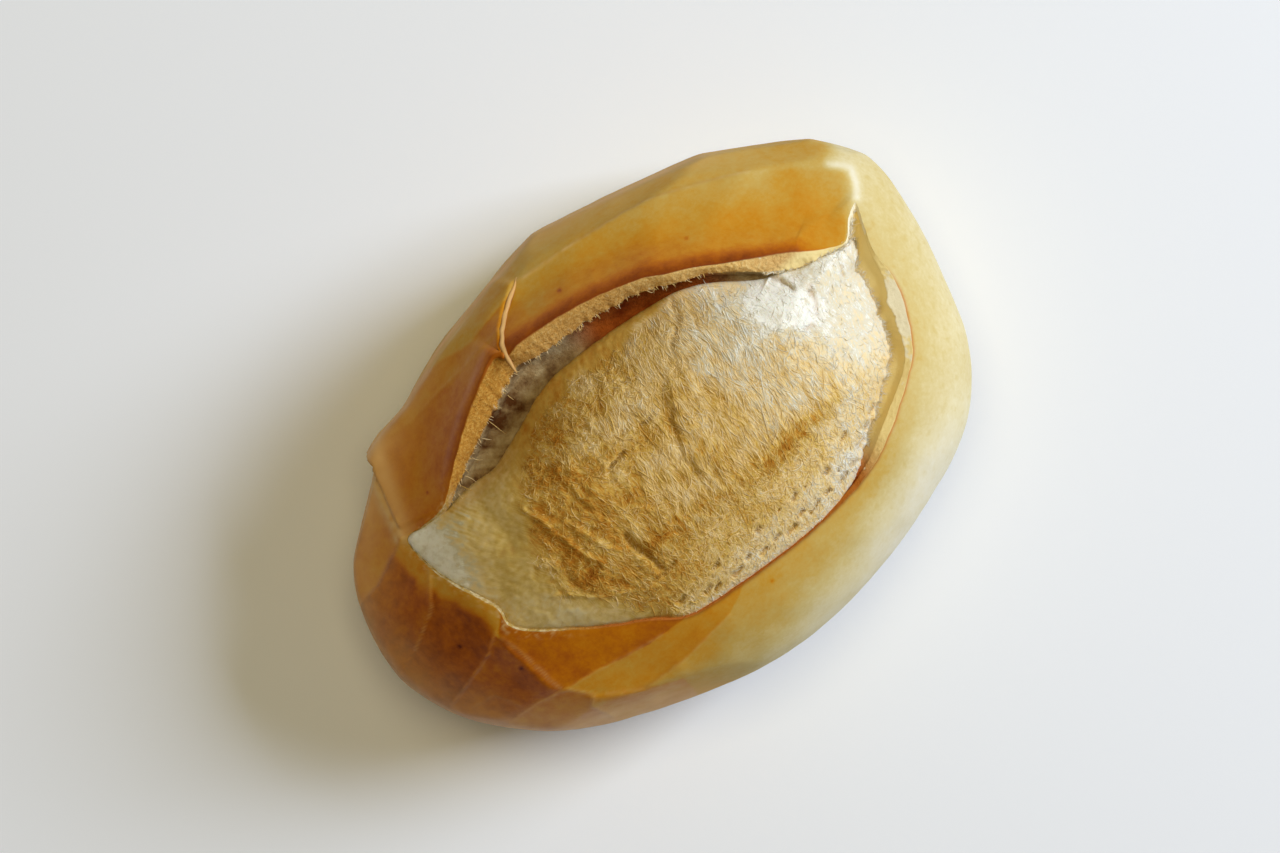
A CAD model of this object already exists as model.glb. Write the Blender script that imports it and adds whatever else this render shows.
"""A crusty bread roll, burst open along its top, on a pale floor in soft daylight.

The crust, with its dried plates, lifted flap, torn face and crevice, and the crumb that swells
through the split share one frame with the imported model. Loose threads of crumb and a curl of torn
crust lie on them. Lengths are millimetres until a mesh is made.
"""

import math

import bpy
import numpy as np
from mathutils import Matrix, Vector


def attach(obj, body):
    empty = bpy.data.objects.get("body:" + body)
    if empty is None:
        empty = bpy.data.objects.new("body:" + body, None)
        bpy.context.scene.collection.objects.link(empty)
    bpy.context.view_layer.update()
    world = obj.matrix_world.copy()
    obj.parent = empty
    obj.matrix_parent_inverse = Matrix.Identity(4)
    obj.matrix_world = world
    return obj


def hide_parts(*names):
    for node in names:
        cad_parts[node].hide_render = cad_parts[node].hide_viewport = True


MM = 0.001
NODE = "bread_roll"

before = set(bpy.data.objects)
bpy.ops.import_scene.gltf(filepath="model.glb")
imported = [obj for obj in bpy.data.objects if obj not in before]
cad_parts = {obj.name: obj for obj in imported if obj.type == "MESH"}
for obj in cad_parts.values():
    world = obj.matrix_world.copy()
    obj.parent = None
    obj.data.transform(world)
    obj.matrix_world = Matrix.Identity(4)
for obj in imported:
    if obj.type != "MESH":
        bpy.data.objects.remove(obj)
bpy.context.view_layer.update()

# ---- The closed loaf ----

HALF_LENGTH = 57.6
HALF_WIDTH = 40.9
WIDEST_Z = 21.0
CROWN_HEIGHT = 28.5
BELLY_DEPTH = 26.0
CROWN_POWER = 2.1
BELLY_POWER = 2.6
BASE_SHARE = 0.6
BASE_ROUNDING = 2.5
SEAM_ROUNDING = 0.35
PLATE_FULLNESS = 0.15
FLAP_REACH = 9.0
TORN_BULGE = 0.35
HIDDEN_INSET = 0.12
HIDDEN_DROP = 1.5
LEAST_FACING = 0.2
LEAST_DOWN = -0.1

# Swellings and flats of the outline: direction in degrees, spread in degrees, height.
OUTLINE_BUMPS = [
    (15, 11, 2.4),
    (-12, 12, -2.0),
    (-40, 10, 0.7),
    (162, 10, 1.2),
    (-125, 22, -1.7),
]

# Flats of the sides: facing direction and lean back in degrees, and distance from the middle.
SIDE_FLATS = {
    "right_corner": (33, 8, 55.4),
    "far_right": (57, 7, 46.2),
    "far_middle": (73, 7, 40.4),
    "far_left": (99.5, 7, 38.0),
    "far_corner": (108, 7, 39.0),
    "left_corner": (122.5, 7, 43.4),
}

# Plates of crust, each the plane through three places on the round loaf, given in plan.
PLATES = {
    "flap_right_end": ((51.5, 14.5), (36, 25.6), (44.4, 4)),
    "flap_right": ((43, 21.5), (24, 30.4), (33, 11.5)),
    "flap_middle": ((27, 29.5), (8, 34.4), (15.5, 20.5)),
    "flap_left": ((11, 34.2), (0, 35.2), (-1, 25.5)),
    "skirt_right": ((38.9, 24.4), (52, 21.5), (37.4, 31.4)),
    "skirt_middle": ((36, 32.2), (7.9, 40), (22, 31)),
    "skirt_left": ((3, 40.2), (-21.6, 35.6), (-8, 33.8)),
    "shoulder": ((-34.2, 31.2), (-21.6, 35.4), (-12, 32.4)),
    "lid": ((-34, 31.2), (-8.5, 31.2), (-31, 15)),
    "lid_edge": ((-9, 32.6), (-20, 31.4), (-14, 24.5)),
    "cheek": ((-40.6, 16.8), (-52, 15.5), (-36.5, 28.8)),
    "end_upper": ((-41.7, 15.6), (-54.4, 10.5), (-46.4, 3.8)),
    "end_middle": ((-41, 9), (-39.6, -5), (-55.6, -3)),
    "end_lower": ((-39.8, -6), (-54, -9.5), (-41.5, -18.4)),
    "heel": ((-38.4, -18.8), (-47.5, -19), (-35.2, -25.8)),
    "tooth": ((-38.4, -7), (-36.6, -19), (-15.5, -22.6)),
    "tooth_foot": ((-36.4, -20), (-14.8, -23.4), (-27, -28)),
    "foot_end": ((-34.6, -24.8), (-27, -28), (-36, -29.8)),
}

# ---- The split ----

# Stations round the split, counter-clockwise from its pointed right end. In plan: the lip where
# the crust tore, the shelf where the torn face ends, and the edge of the crumb. Then the lift of
# the lip, the drop to the shelf, how deep the crevice is, how far it runs under the shelf, and how
# far the crumb's edge sinks below the loaf.
STATION_KEYS = ("lip", "shelf", "crumb", "lift", "drop", "deep", "under", "sink")
STATIONS = [
    # the pointed end and the flap's right corner
    ((50.1, 7.9), (49.5, 7.1), (45.9, 3.9), 0.0, 0.3, 0.3, 0.0, 0.5),
    ((47.6, 6.8), (47.0, 5.6), (45.2, 4.0), 0.4, 0.6, 0.3, 0.0, 0.7),
    ((44.3, 4.3), (44.4, 3.9), (44.3, 3.9), 1.0, 1.0, 0.2, 0.0, 0.7),
    # the long right-hand plate of the flap, where the crumb clings to it
    ((40.6, 5.8), (40.4, 4.8), (40.2, 4.6), 1.6, 1.6, 0.2, 0.0, 0.7),
    ((36.3, 9.0), (35.7, 6.2), (35.4, 6.0), 2.2, 2.0, 0.2, 0.0, 0.2),
    ((31.4, 12.0), (32.0, 8.6), (31.1, 8.2), 2.6, 2.0, 2.0, 0.0, 0.0),
    ((28.0, 14.1), (29.7, 10.7), (28.7, 9.8), 2.8, 2.2, 3.5, 0.2, 0.0),
    ((22.8, 17.5), (24.3, 15.1), (23.5, 13.9), 2.8, 2.6, 4.0, 0.5, 0.6),
    # the middle of the flap, over the open crevice
    ((19.0, 19.6), (19.6, 17.3), (19.1, 16.2), 2.8, 3.0, 5.0, 1.0, 1.2),
    ((15.2, 21.8), (15.6, 19.6), (15.2, 17.2), 2.8, 3.2, 6.0, 2.0, 1.6),
    ((6.0, 25.0), (5.6, 22.3), (5.7, 18.8), 2.8, 3.2, 6.5, 2.5, 1.8),
    ((-6.0, 27.0), (-5.4, 23.7), (-4.8, 19.5), 2.6, 3.2, 6.5, 2.0, 1.8),
    # the seam between the flap's two plates
    ((-8.2, 26.8), (-8.0, 24.6), (-7.4, 19.2), 1.6, 2.6, 6.0, 1.5, 1.8),
    ((-9.8, 27.9), (-10.2, 23.9), (-9.6, 18.7), 2.2, 3.0, 6.0, 1.5, 1.8),
    # the left-hand plate
    ((-15.3, 26.0), (-15.0, 22.1), (-13.9, 17.2), 2.4, 3.0, 5.0, 1.5, 2.0),
    ((-22.9, 21.9), (-22.8, 19.1), (-21.4, 15.0), 2.2, 2.8, 3.6, 1.2, 2.6),
    ((-27.4, 18.9), (-27.4, 17.2), (-25.4, 13.6), 1.8, 2.4, 2.4, 0.8, 3.0),
    ((-32.1, 15.9), (-31.8, 15.1), (-30.2, 12.4), 1.0, 1.6, 1.0, 0.0, 2.6),
    ((-36.6, 15.7), (-36.2, 14.8), (-34.7, 13.2), 0.4, 1.2, 0.5, 0.0, 1.6),
    # the left end, where the crumb lies against the crust
    ((-40.3, 16.0), (-39.8, 15.1), (-38.8, 13.4), 0.2, 0.6, 0.3, 0.0, 0.8),
    ((-40.5, 9.8), (-39.9, 9.6), (-38.9, 9.2), 0.2, 0.6, 0.3, 0.0, 0.8),
    ((-39.3, 5.4), (-38.7, 5.3), (-37.9, 5.0), 0.2, 0.6, 0.3, 0.0, 0.8),
    ((-36.5, -2.2), (-35.9, -2.1), (-35.1, -1.9), 0.2, 0.6, 0.3, 0.0, 0.8),
    ((-36.9, -5.7), (-36.1, -5.3), (-35.2, -4.6), 0.3, 0.8, 0.3, 0.0, 0.8),
    # the lower side
    ((-26.8, -15.1), (-26.4, -14.5), (-25.8, -13.6), 0.3, 0.8, 0.3, 0.0, 0.9),
    ((-19.1, -20.2), (-18.8, -19.6), (-18.3, -18.7), 0.3, 0.8, 0.3, 0.0, 1.0),
    ((-14.8, -23.5), (-14.6, -22.9), (-14.3, -22.0), 0.2, 0.8, 0.3, 0.0, 1.0),
    ((-3.8, -25.6), (-3.8, -25.1), (-3.8, -24.3), 0.2, 0.8, 0.3, 0.0, 1.0),
    ((11.5, -26.7), (11.5, -26.2), (11.5, -25.3), 0.2, 0.8, 0.4, 0.0, 1.0),
    # the smooth groove round the right end
    ((22.6, -25.8), (22.3, -24.8), (21.9, -23.6), 0.2, 1.2, 0.8, 0.0, 1.0),
    ((30.0, -22.9), (29.2, -21.6), (28.0, -20.4), 0.2, 1.4, 1.4, 0.0, 1.0),
    ((38.6, -17.9), (37.8, -17.2), (36.0, -15.4), 0.3, 1.4, 1.6, 0.0, 0.8),
    ((41.1, -15.9), (40.1, -14.9), (38.5, -13.2), 0.4, 1.0, 1.8, 0.0, 0.8),
    ((45.3, -9.0), (42.8, -8.4), (41.2, -7.2), 0.4, 1.0, 2.0, 0.0, 0.6),
    ((46.6, -5.0), (45.2, -4.5), (42.4, -3.3), 0.3, 1.0, 2.0, 0.0, 0.6),
    ((46.9, 0.1), (46.4, -0.1), (43.4, 0.2), 0.2, 1.0, 1.8, 0.0, 0.8),
    ((48.9, 4.8), (48.4, 4.5), (45.3, 1.6), 0.1, 0.8, 1.0, 0.0, 0.8),
]

# Stations between which the crumb lies against the crust, those between which it hangs on the torn
# face, and the one up to which the crust rings are led round the pointed end.
TUCKED_STATIONS = (17, 28)
CLINGING_STATIONS = (1.6, 4.3)
FLAP_END_STATION = 4

# ---- The crumb ----

CRUMB_TOP_Z = 54.0
CRUMB_CENTRE = (2.0, -3.0)
CRUMB_HALF_AXES = (42.0, 22.5)
CRUMB_FALL = 12.0
CRUMB_PLAN_POWER = 2.3
CRUMB_FALL_POWER = 2.3
EDGE_POWER = 5
RIM_POWER = 26
EDGE_ROUNDING = 1.1

# Hidden rings below the crumb's rim: how far below it, and how much nearer the centre.
HIDDEN_RINGS = ((1.5, 0.01), (4.0, 0.03), (8.0, 0.08))

# Creases (height below zero) and ridges of the crumb: path in plan, width, height.
CRUMB_STROKES = [
    (((-11.3, -11), (-4, -11.7), (0, -12), (7.5, -12.9), (18.8, -13.1), (27.3, -12.9)), 1.6, 0.7),
    (((-13.0, -7.2), (-13.1, -11), (-12.6, -14.6)), 0.6, -0.9),
    (((-14.6, -15.4), (-12.5, -15.6), (-10.4, -15.0)), 0.35, -0.6),
    (((-22.0, 6.6), (-20.8, -1.4), (-19.0, -7.9)), 0.5, 0.5),
    (((-18.6, 1.0), (-17.4, -4.0), (-15.6, -8.0)), 0.45, 0.35),
    (((-7.6, 2.7), (-6.2, 2.8), (-4.8, 2.9)), 0.35, -0.8),
    (((0.3, 4.1), (1.3, 4.1), (2.3, 4.3)), 0.3, -0.5),
    (((-26.5, 14.5), (-27.5, 10), (-27, 6)), 2.6, -1.0),
    (((24, 8), (28, 5.5), (30, 3.0)), 3.2, 0.7),
    (((31.3, 8.2), (32.0, 6.6), (32.7, 4.2)), 0.35, -0.9),
    (((34.6, 1.7), (33.7, 0.3), (32.9, -1.6)), 0.45, -0.35),
    (((30.9, -2.1), (29.4, -1.8)), 0.4, -0.3),
    (((40.9, 1.9), (40.5, 0.6)), 0.35, -0.35),
    (((35.2, 2.4), (34.2, 1.4)), 0.5, -0.25),
    (((12.5, 10.5), (15.5, 12.5), (17.5, 16.0)), 0.7, -0.4),
    (((-28.0, -6.6), (-21.0, -12.8), (-14.4, -16.8)), 0.3, 0.25),
]

# Elongated pores along the crumb's lower side: place in plan, half length. And how wide they are.
CRUMB_PORES = [
    (-13.5, -20.6, 0.5), (-9.6, -22.2, 0.6), (-8.0, -22.9, 0.5), (-4.0, -23.3, 0.8), (-1.2, -22.6, 0.4),
    (1.6, -23.8, 0.5), (4.4, -23.4, 0.4), (7.0, -24.1, 0.8), (9.8, -23.2, 0.5), (12.0, -24.0, 0.9),
    (15.2, -23.6, 0.5), (18.5, -23.8, 0.8), (21.5, -22.9, 0.7), (24.4, -21.4, 0.6), (27.0, -20.2, 0.5),
    (29.4, -18.6, 0.6), (3.0, -20.6, 0.4), (-6.0, -20.2, 0.4), (10.6, -20.4, 0.4), (17.0, -20.8, 0.5),
    (23.0, -18.4, 0.4),
]
PORE_WIDTH = 0.36

# Folds, where one lobe of crumb laps over the next: path in plan with the raised lobe on its left,
# height, and how far the lobe takes to sink back.
CRUMB_FOLDS = [
    (((9.0, 8.6), (6.6, 5.6), (5.1, 2.4), (3.4, -1.0), (1.9, -4.0), (2.1, -8.0), (2.9, -11.2)), 0.6, 9.0),
    (((-10.5, -11.2), (-3.0, -11.6), (6.0, -12.6), (15.0, -12.9), (24.5, -12.6)), 0.3, 6.0),
    (((-14.0, 10.0), (-15.0, 4.0), (-14.0, -2.0)), 0.4, 5.0),
    (((14.5, 14.0), (12.0, 10.0), (12.5, 6.5)), 0.3, 6.0),
]

# Edge of the torn crumb, with the smooth skin on its right: from the flap, round the left end.
SKIN_EDGE = [
    (22, 16.5), (17, 17.2), (10, 16.6), (1, 16.2), (-9, 16.8), (-16.0, 13.8), (-21.8, 9.0),
    (-25.6, 1.0), (-28.0, -6.6), (-24.0, -11.0), (-21.0, -15.5), (-17.0, -20.5),
]

# Stations between which threads hang from the torn edge, and long threads: from and to in plan,
# and how far each falls.
THREAD_STATIONS = (6.5, 16.8)
LONG_THREADS = [
    ((-17.5, 21.3), (-16.9, 17.8), 1.2),
    ((-23.4, 18.6), (-22.4, 17.2), 0.6),
    ((-20.2, 19.9), (-19.2, 18.6), 0.5),
    ((-26.3, 17.2), (-25.6, 15.0), 0.6),
    ((-27.8, 16.4), (-26.6, 13.6), 0.5),
    ((-29.0, 15.8), (-28.2, 13.2), 0.4),
    ((-12.4, 22.2), (-12.2, 20.9), 0.4),
]

# Usual length of loose threads, the longest of those that hang, and how thick threads are.
TORN_THREAD_LENGTH = 0.42
LONGEST_TORN_THREAD = 1.1
FRINGE_LENGTH = 0.6
STRAND_THICKNESS = 0.055
LONG_THREAD_THICKNESS = 0.06

# Fluff: the stations it runs between, the line it stands on, how many threads, and how far inward
# of that line they start, at least and at most, and how much higher.
FRINGES = [
    ((29.5, 36.9), "crumb", 2300, (-0.1, 1.3, -0.40)),
    ((0.0, 5.5), "shelf", 900, (-0.25, 0.5, 0.0)),
]

# ---- Resolution ----

SPLIT_STEPS = 840
CREVICE_RINGS = 9
TORN_RINGS = 11
UPPER_RINGS = 84
LOWER_RINGS = 24
UPPER_SHARE = 0.6
RING_CROWDING = 1.25
CRUMB_LEVELS = 150
STRANDS = 7400
TORN_THREADS = 320
STRAND_STEPS = 4
RASTER_CELL = 0.25
RIBBON_STEPS = 90
RIBBON_SIDES = 10
SEED = 11


# ---- Small tools ----


def smoothstep(value, low, high):
    share = np.clip((value - low) / (high - low), 0.0, 1.0)
    return share * share * (3 - 2 * share)


def mix(a, b, share):
    return a + (b - a) * share


def window(value, rise, fall):
    """Rises from 0 to 1 over one pair of values and falls again over the other."""
    return smoothstep(value, *rise) * (1 - smoothstep(value, *fall))


def noise(place, size, seed):
    """Noise over one to three coordinates, with features about this many millimetres across."""
    sizes = np.broadcast_to(size, len(place))
    return gradient_noise(*(values / one for values, one in zip(place, sizes)), seed=seed)


def gradient_noise(x, y=0.5, z=0.0, seed=0):
    """Smooth noise between about -1 and 1, one value for each place."""
    rng = np.random.default_rng(SEED + seed)
    order = rng.permutation(256)
    slopes = rng.normal(size=(256, 3))
    slopes /= np.linalg.norm(slopes, axis=1)[:, None]
    place = np.stack(np.broadcast_arrays(x, y, z), axis=-1).astype(float)
    cell = np.floor(place).astype(int)
    inside = place - cell
    ease = inside**3 * (inside * (inside * 6 - 15) + 10)
    total = np.zeros(place.shape[:-1])
    for corner in np.ndindex(2, 2, 2):
        step = np.array(corner)
        key = order[(cell[..., 0] + step[0]) & 255]
        key = order[(key + cell[..., 1] + step[1]) & 255]
        key = order[(key + cell[..., 2] + step[2]) & 255]
        weight = np.prod(np.where(step == 1, ease, 1 - ease), axis=-1)
        total += weight * np.sum(slopes[key] * (inside - step), axis=-1)
    return total * 1.6


def stroke_distance(x, y, path):
    """Distance in plan from each place to a path."""
    nearest = np.full(np.shape(x), 1e9)
    for (ax, ay), (bx, by) in zip(path[:-1], path[1:]):
        along = ((x - ax) * (bx - ax) + (y - ay) * (by - ay)) / ((bx - ax) ** 2 + (by - ay) ** 2)
        share = np.clip(along, 0, 1)
        nearest = np.minimum(nearest, np.hypot(x - ax - share * (bx - ax), y - ay - share * (by - ay)))
    return nearest


def bell(distance, width):
    return np.exp(-((distance / width) ** 2))


def stroke(x, y, path, width):
    """1 on a path in plan, falling to 0 beside it."""
    return bell(stroke_distance(x, y, path), width)


def spot(x, y, centre, reach):
    """1 at a place in plan, falling to 0 round it; reach may differ along X and Y."""
    wide, high = np.broadcast_to(reach, 2)
    return bell(np.hypot((x - centre[0]) / wide, (y - centre[1]) / high), 1.0)


# ---- Shape of the loaf ----


def directions(azimuth, elevation):
    level = np.cos(elevation)
    return np.stack([level * np.cos(azimuth), level * np.sin(azimuth), np.sin(elevation)], axis=-1)


def turn_between(start, end):
    return np.arctan2(np.sin(end - start), np.cos(end - start))


def outline_radius(azimuth):
    power = 2.05 + 0.22 * np.cos(azimuth)
    c = np.abs(np.cos(azimuth) / HALF_LENGTH) ** power
    s = np.abs(np.sin(azimuth) / HALF_WIDTH) ** power
    radius = (c + s) ** (-1 / power)
    for direction, spread, height in OUTLINE_BUMPS:
        turn = np.degrees(turn_between(math.radians(direction), azimuth))
        radius = radius + height * bell(turn, spread)
    return radius


def round_loaf(direction):
    x, y, z = np.moveaxis(direction, -1, 0)
    across = np.hypot(x, y) / outline_radius(np.arctan2(y, x))
    height = np.where(z > 0, CROWN_HEIGHT, BELLY_DEPTH)
    power = np.where(z > 0, CROWN_POWER, BELLY_POWER)
    return (across**power + np.abs(z / height) ** power) ** (-1 / power)


def round_top(x, y):
    share = min(math.hypot(x, y) / float(outline_radius(np.arctan2(y, x))), 1)
    return np.array([x, y, CROWN_HEIGHT * (1 - share**CROWN_POWER) ** (1 / CROWN_POWER)])


def plate_plane(corners):
    """Unit normal and distance of a plate's plane, from the loaf's centre."""
    a, b, c = (round_top(x, y) for x, y in corners)
    normal = np.cross(b - a, c - a)
    normal /= np.linalg.norm(normal)
    distance = normal @ a
    return (normal, distance) if distance > 0 else (-normal, -distance)


def side_plane(facing, lean, distance):
    return directions(math.radians(facing), math.radians(lean)), distance


def smooth_min(a, b, rounding):
    nearness = np.maximum(rounding - np.abs(a - b), 0) / rounding
    return np.minimum(a, b) - nearness * nearness * rounding / 4


CRUST_PLANES = [plate_plane(corners) for corners in PLATES.values()]
CRUST_PLANES += [side_plane(*flat) for flat in SIDE_FLATS.values()]


def crust_distance(direction):
    """Distance from the loaf's centre to its crust."""
    whole = round_loaf(direction)
    distance = whole
    for normal, offset in CRUST_PLANES:
        facing = direction @ normal
        flat = offset / np.maximum(facing, LEAST_FACING)
        cut = flat + PLATE_FULLNESS * np.maximum(whole - flat, 0)
        distance = np.where(facing > LEAST_FACING, smooth_min(distance, cut, SEAM_ROUNDING), distance)
    down = np.minimum(direction[..., 2], LEAST_DOWN)
    grounded = smooth_min(distance, -WIDEST_Z / down, BASE_ROUNDING)
    return np.where(direction[..., 2] < LEAST_DOWN, grounded, distance)


def crust_points(direction):
    return direction * crust_distance(direction)[..., None] + np.array([0, 0, WIDEST_Z])


def directions_above(x, y):
    azimuth = np.arctan2(y, x)
    low = np.zeros_like(azimuth)
    high = np.full_like(azimuth, math.pi / 2)
    across = np.hypot(x, y)
    for _ in range(40):
        elevation = (low + high) / 2
        outside = crust_distance(directions(azimuth, elevation)) * np.cos(elevation) > across
        low = np.where(outside, elevation, low)
        high = np.where(outside, high, elevation)
    return directions(azimuth, low)


# ---- Shape of the split ----


def closed_curve(points, place):
    """A centripetal Catmull-Rom curve through the points, at places from 0 to 1."""
    points = np.array(points, dtype=float)
    count = len(points)
    scaled = (place % 1.0) * count
    index = np.floor(scaled).astype(int) % count
    share = (scaled - np.floor(scaled))[:, None]
    p0, p1, p2, p3 = (points[(index + k) % count] for k in (-1, 0, 1, 2))
    spans = ((p0, p1), (p1, p2), (p2, p3))
    g0, g1, g2 = (np.sqrt(np.linalg.norm(b - a, axis=1))[:, None] for a, b in spans)
    t1 = ((p1 - p0) / g0 - (p2 - p0) / (g0 + g1) + (p2 - p1) / g1) * g1
    t2 = ((p2 - p1) / g1 - (p3 - p1) / (g1 + g2) + (p3 - p2) / g2) * g1
    cubic = 2 * p1 - 2 * p2 + t1 + t2
    square = -3 * p1 + 3 * p2 - 2 * t1 - t2
    return p1 + t1 * share + square * share**2 + cubic * share**3


def station_values(key, place):
    values = np.array([station[STATION_KEYS.index(key)] for station in STATIONS])
    scaled = (place % 1.0) * len(values)
    index = np.floor(scaled).astype(int) % len(values)
    return mix(values[index], values[(index + 1) % len(values)], scaled - np.floor(scaled))


def tucked_share(place):
    """1 where the crumb lies against the crust, along the left end and the lower side."""
    station = place * len(STATIONS)
    first, last = TUCKED_STATIONS
    return window(station, (first - 2.2, first + 0.8), (last, last + 1.5))


def clinging_share(place):
    """1 where the crumb hangs on the torn face, under the right end of the flap."""
    station = (place * len(STATIONS) + 2) % len(STATIONS) - 2
    first, last = CLINGING_STATIONS
    return window(station, (first - 1.0, first), (last, last + 0.9))


def flake_share(x, y):
    """1 where a loose flake of crust stands along the groove."""
    return bell(y + 10.0, 5.0) * smoothstep(x, 36, 40)


def groove_share(x, y):
    """1 along the smooth groove round the right end of the split, from below the flap."""
    return smoothstep(x, 20, 30) * smoothstep(-y, -9, -7)


def split_samples():
    """The lip, shelf, crevice and crumb edge, at even steps along the lip."""
    lips, shelves, crumbs = ([station[k] for station in STATIONS] for k in range(3))
    fine = np.linspace(0, 1, len(STATIONS) * 60 + 1)
    walk = closed_curve(lips, fine)
    walked = np.concatenate([[0], np.cumsum(np.linalg.norm(np.diff(walk, axis=0), axis=1))])
    place = np.interp(np.arange(SPLIT_STEPS) / SPLIT_STEPS * walked[-1], walked, fine)
    lip, shelf, crumb = (closed_curve(points, place) for points in (lips, shelves, crumbs))
    values = {key: station_values(key, place) for key in STATION_KEYS[3:]}

    length = np.arange(SPLIT_STEPS) / SPLIT_STEPS * walked[-1]
    inward = shelf - lip
    inward /= np.linalg.norm(inward, axis=1)[:, None]
    flap = smoothstep(values["lift"], 1.2, 2.2)
    jag = noise((length,), 1.3, 3) + 0.6 * noise((length,), 0.5, 4)
    jag = jag * (0.06 + 0.30 * flap + 0.45 * flake_share(lip[:, 0], lip[:, 1]))
    nibble = noise((length,), 2.1, 5) + 0.5 * noise((length,), 0.8, 6)
    lip = lip + inward * (0.10 * nibble)[:, None]
    ragged = noise((length,), 1.7, 7) + 0.6 * noise((length,), 0.6, 8)
    groove = groove_share(lip[:, 0], lip[:, 1])
    crumb = crumb + inward * (ragged * (0.22 - 0.14 * flap + 0.25 * groove))[:, None]

    closed = tucked_share(place)
    crumb = mix(crumb, lip + inward * 0.1, closed[:, None])
    sink = mix(values["sink"], 0.12 + 0.6 * values["lift"] + 0.10 * ragged, closed)
    deep = values["deep"] * mix(0.5, 0.36, np.maximum(smoothstep(-lip[:, 0], 0, 12), groove))
    shallow = smoothstep(lip[:, 0], 8, 18) * (1 - groove)
    drop = values["drop"] * mix(1.0, 0.3, groove) * mix(1.0, 0.7, shallow)

    direction = directions_above(lip[:, 0], lip[:, 1])
    surface = crust_points(direction)
    top = surface[:, 2]
    shelf = np.column_stack([shelf, top + values["lift"] - drop])
    crumb = np.column_stack([crumb, evened(top, 9) - sink])
    clinging = clinging_share(place)
    crumb = mix(crumb, shelf + [0, 0, -0.1], clinging[:, None])
    blended = np.clip(8 * clinging * (1 - clinging) + closed, 0, 1)
    crumb[:, 2] = mix(crumb[:, 2], evened(crumb[:, 2], 10), blended)
    crevice = mix(shelf, crumb, 0.5)
    crevice[:, :2] -= inward * values["under"][:, None]
    crevice[:, 2] = np.minimum(shelf[:, 2], crumb[:, 2]) - deep
    return {
        "place": place,
        "length": length,
        "inward": inward,
        "direction": direction,
        "surface": surface,
        "shelf": shelf,
        "crumb": crumb,
        "crevice": crevice,
        "jag": jag,
        "flap": flap,
        **values,
    }


def evened(values, reach):
    """Values round the split, each the mean of its neighbours within reach, twice over."""
    for _ in range(2):
        values = sum(np.roll(values, k) for k in range(-reach, reach + 1)) / (2 * reach + 1)
    return values


def ring_guides(samples):
    """Directions that lead the crust rings round the split's pointed end without crossing it."""
    direction = samples["direction"]
    azimuth = np.unwrap(np.arctan2(direction[:, 1], direction[:, 0]))
    end = int(np.searchsorted(samples["place"], FLAP_END_STATION / len(STATIONS)))
    share = samples["length"][:end] / samples["length"][end]
    azimuth[:end] = np.maximum(azimuth[:end], mix(azimuth[0], azimuth[end], share))
    return azimuth


def ring_azimuths(guides):
    """Directions that the crust rings spread to: the guides, evened so that they never turn back."""
    azimuth = guides
    count = len(azimuth)
    reach = round(count / 18)
    for _ in range(3):
        around = np.concatenate([azimuth - 2 * math.pi, azimuth, azimuth + 2 * math.pi])
        summed = np.concatenate([[0], np.cumsum(around)])
        first = np.arange(count) + count - reach
        azimuth = (summed[first + 2 * reach + 1] - summed[first]) / (2 * reach + 1)
    return azimuth


# ---- Meshes ----


def make_mesh(name, positions, faces, attributes, material):
    mesh = bpy.data.meshes.new(name)
    mesh.from_pydata((positions * MM).tolist(), [], faces)
    mesh.polygons.foreach_set("use_smooth", [True] * len(mesh.polygons))
    for key, values in attributes.items():
        layer = mesh.attributes.new(key, "FLOAT", "POINT")
        layer.data.foreach_set("value", np.asarray(values, dtype=np.float32))
    mesh.materials.append(material)
    mesh.update()
    piece = bpy.data.objects.new(name, mesh)
    bpy.context.scene.collection.objects.link(piece)
    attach(piece, "root")
    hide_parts(NODE)
    return piece


def band_faces(lower, upper, count):
    """Quads between two rings, from the lower ring's outside to the upper's."""
    step = np.arange(count)
    following = (step + 1) % count
    return np.stack([lower + step, lower + following, upper + following, upper + step], axis=1).tolist()


def bounding_shift(rings):
    """The move in plan that puts the middle of the outline's box over the origin."""
    every = np.concatenate([ring[:, :2] for ring in rings])
    return -(every.min(axis=0) + every.max(axis=0)) / 2


# ---- The crust piece ----

# Borders that seams, steps and patches of colour share, in plan.
OUTER_CREASE = [(9.7, 33.7), (17.4, 32.4), (25.2, 30.7), (33.0, 27.2), (40.8, 23.2)]
FLAP_CREASE = [(1.0, 35.1), *OUTER_CREASE]
FLAP_END = [(46.8, 18.9), (50.9, 15.8)]
LID_TOP = [(-34, 31.5), (-30.3, 30.1), (-27.2, 29.8), (-19.4, 30.4), (-6.7, 30.5)]
SHOULDER_TOP = [(-34, 31.5), (-21.6, 34.9), (-11.6, 32.6), (-1.9, 34)]
LID_LEFT = [(-40.2, 17.1), (-38.9, 22), (-38.1, 25), (-37.3, 27.1)]
CHEEK_FOOT = [(-40.7, 16.6), (-44.7, 15.5), (-48.9, 13.8), (-52.3, 13.4)]
END_UPPER_FOOT = [(-40.6, 9.6), (-42.4, 7.4), (-44.4, 5), (-46.4, 4), (-51.6, 1.6)]
END_MIDDLE_FOOT = [(-39.6, -5.1), (-42.4, -6.6), (-46.5, -7.6), (-54.2, -9.3)]
HEEL_TOP = [(-37.2, -19.2), (-42.8, -17.9), (-47, -17.6), (-53, -18), (-70, -25)]
HEEL_SIDE = [(-35.3, -28.4), (-36, -24.2), (-34.9, -22.4)]
TOOTH_FOOT = [(-30.8, -20.5), (-23, -22.7), (-14.8, -23.3)]

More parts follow.
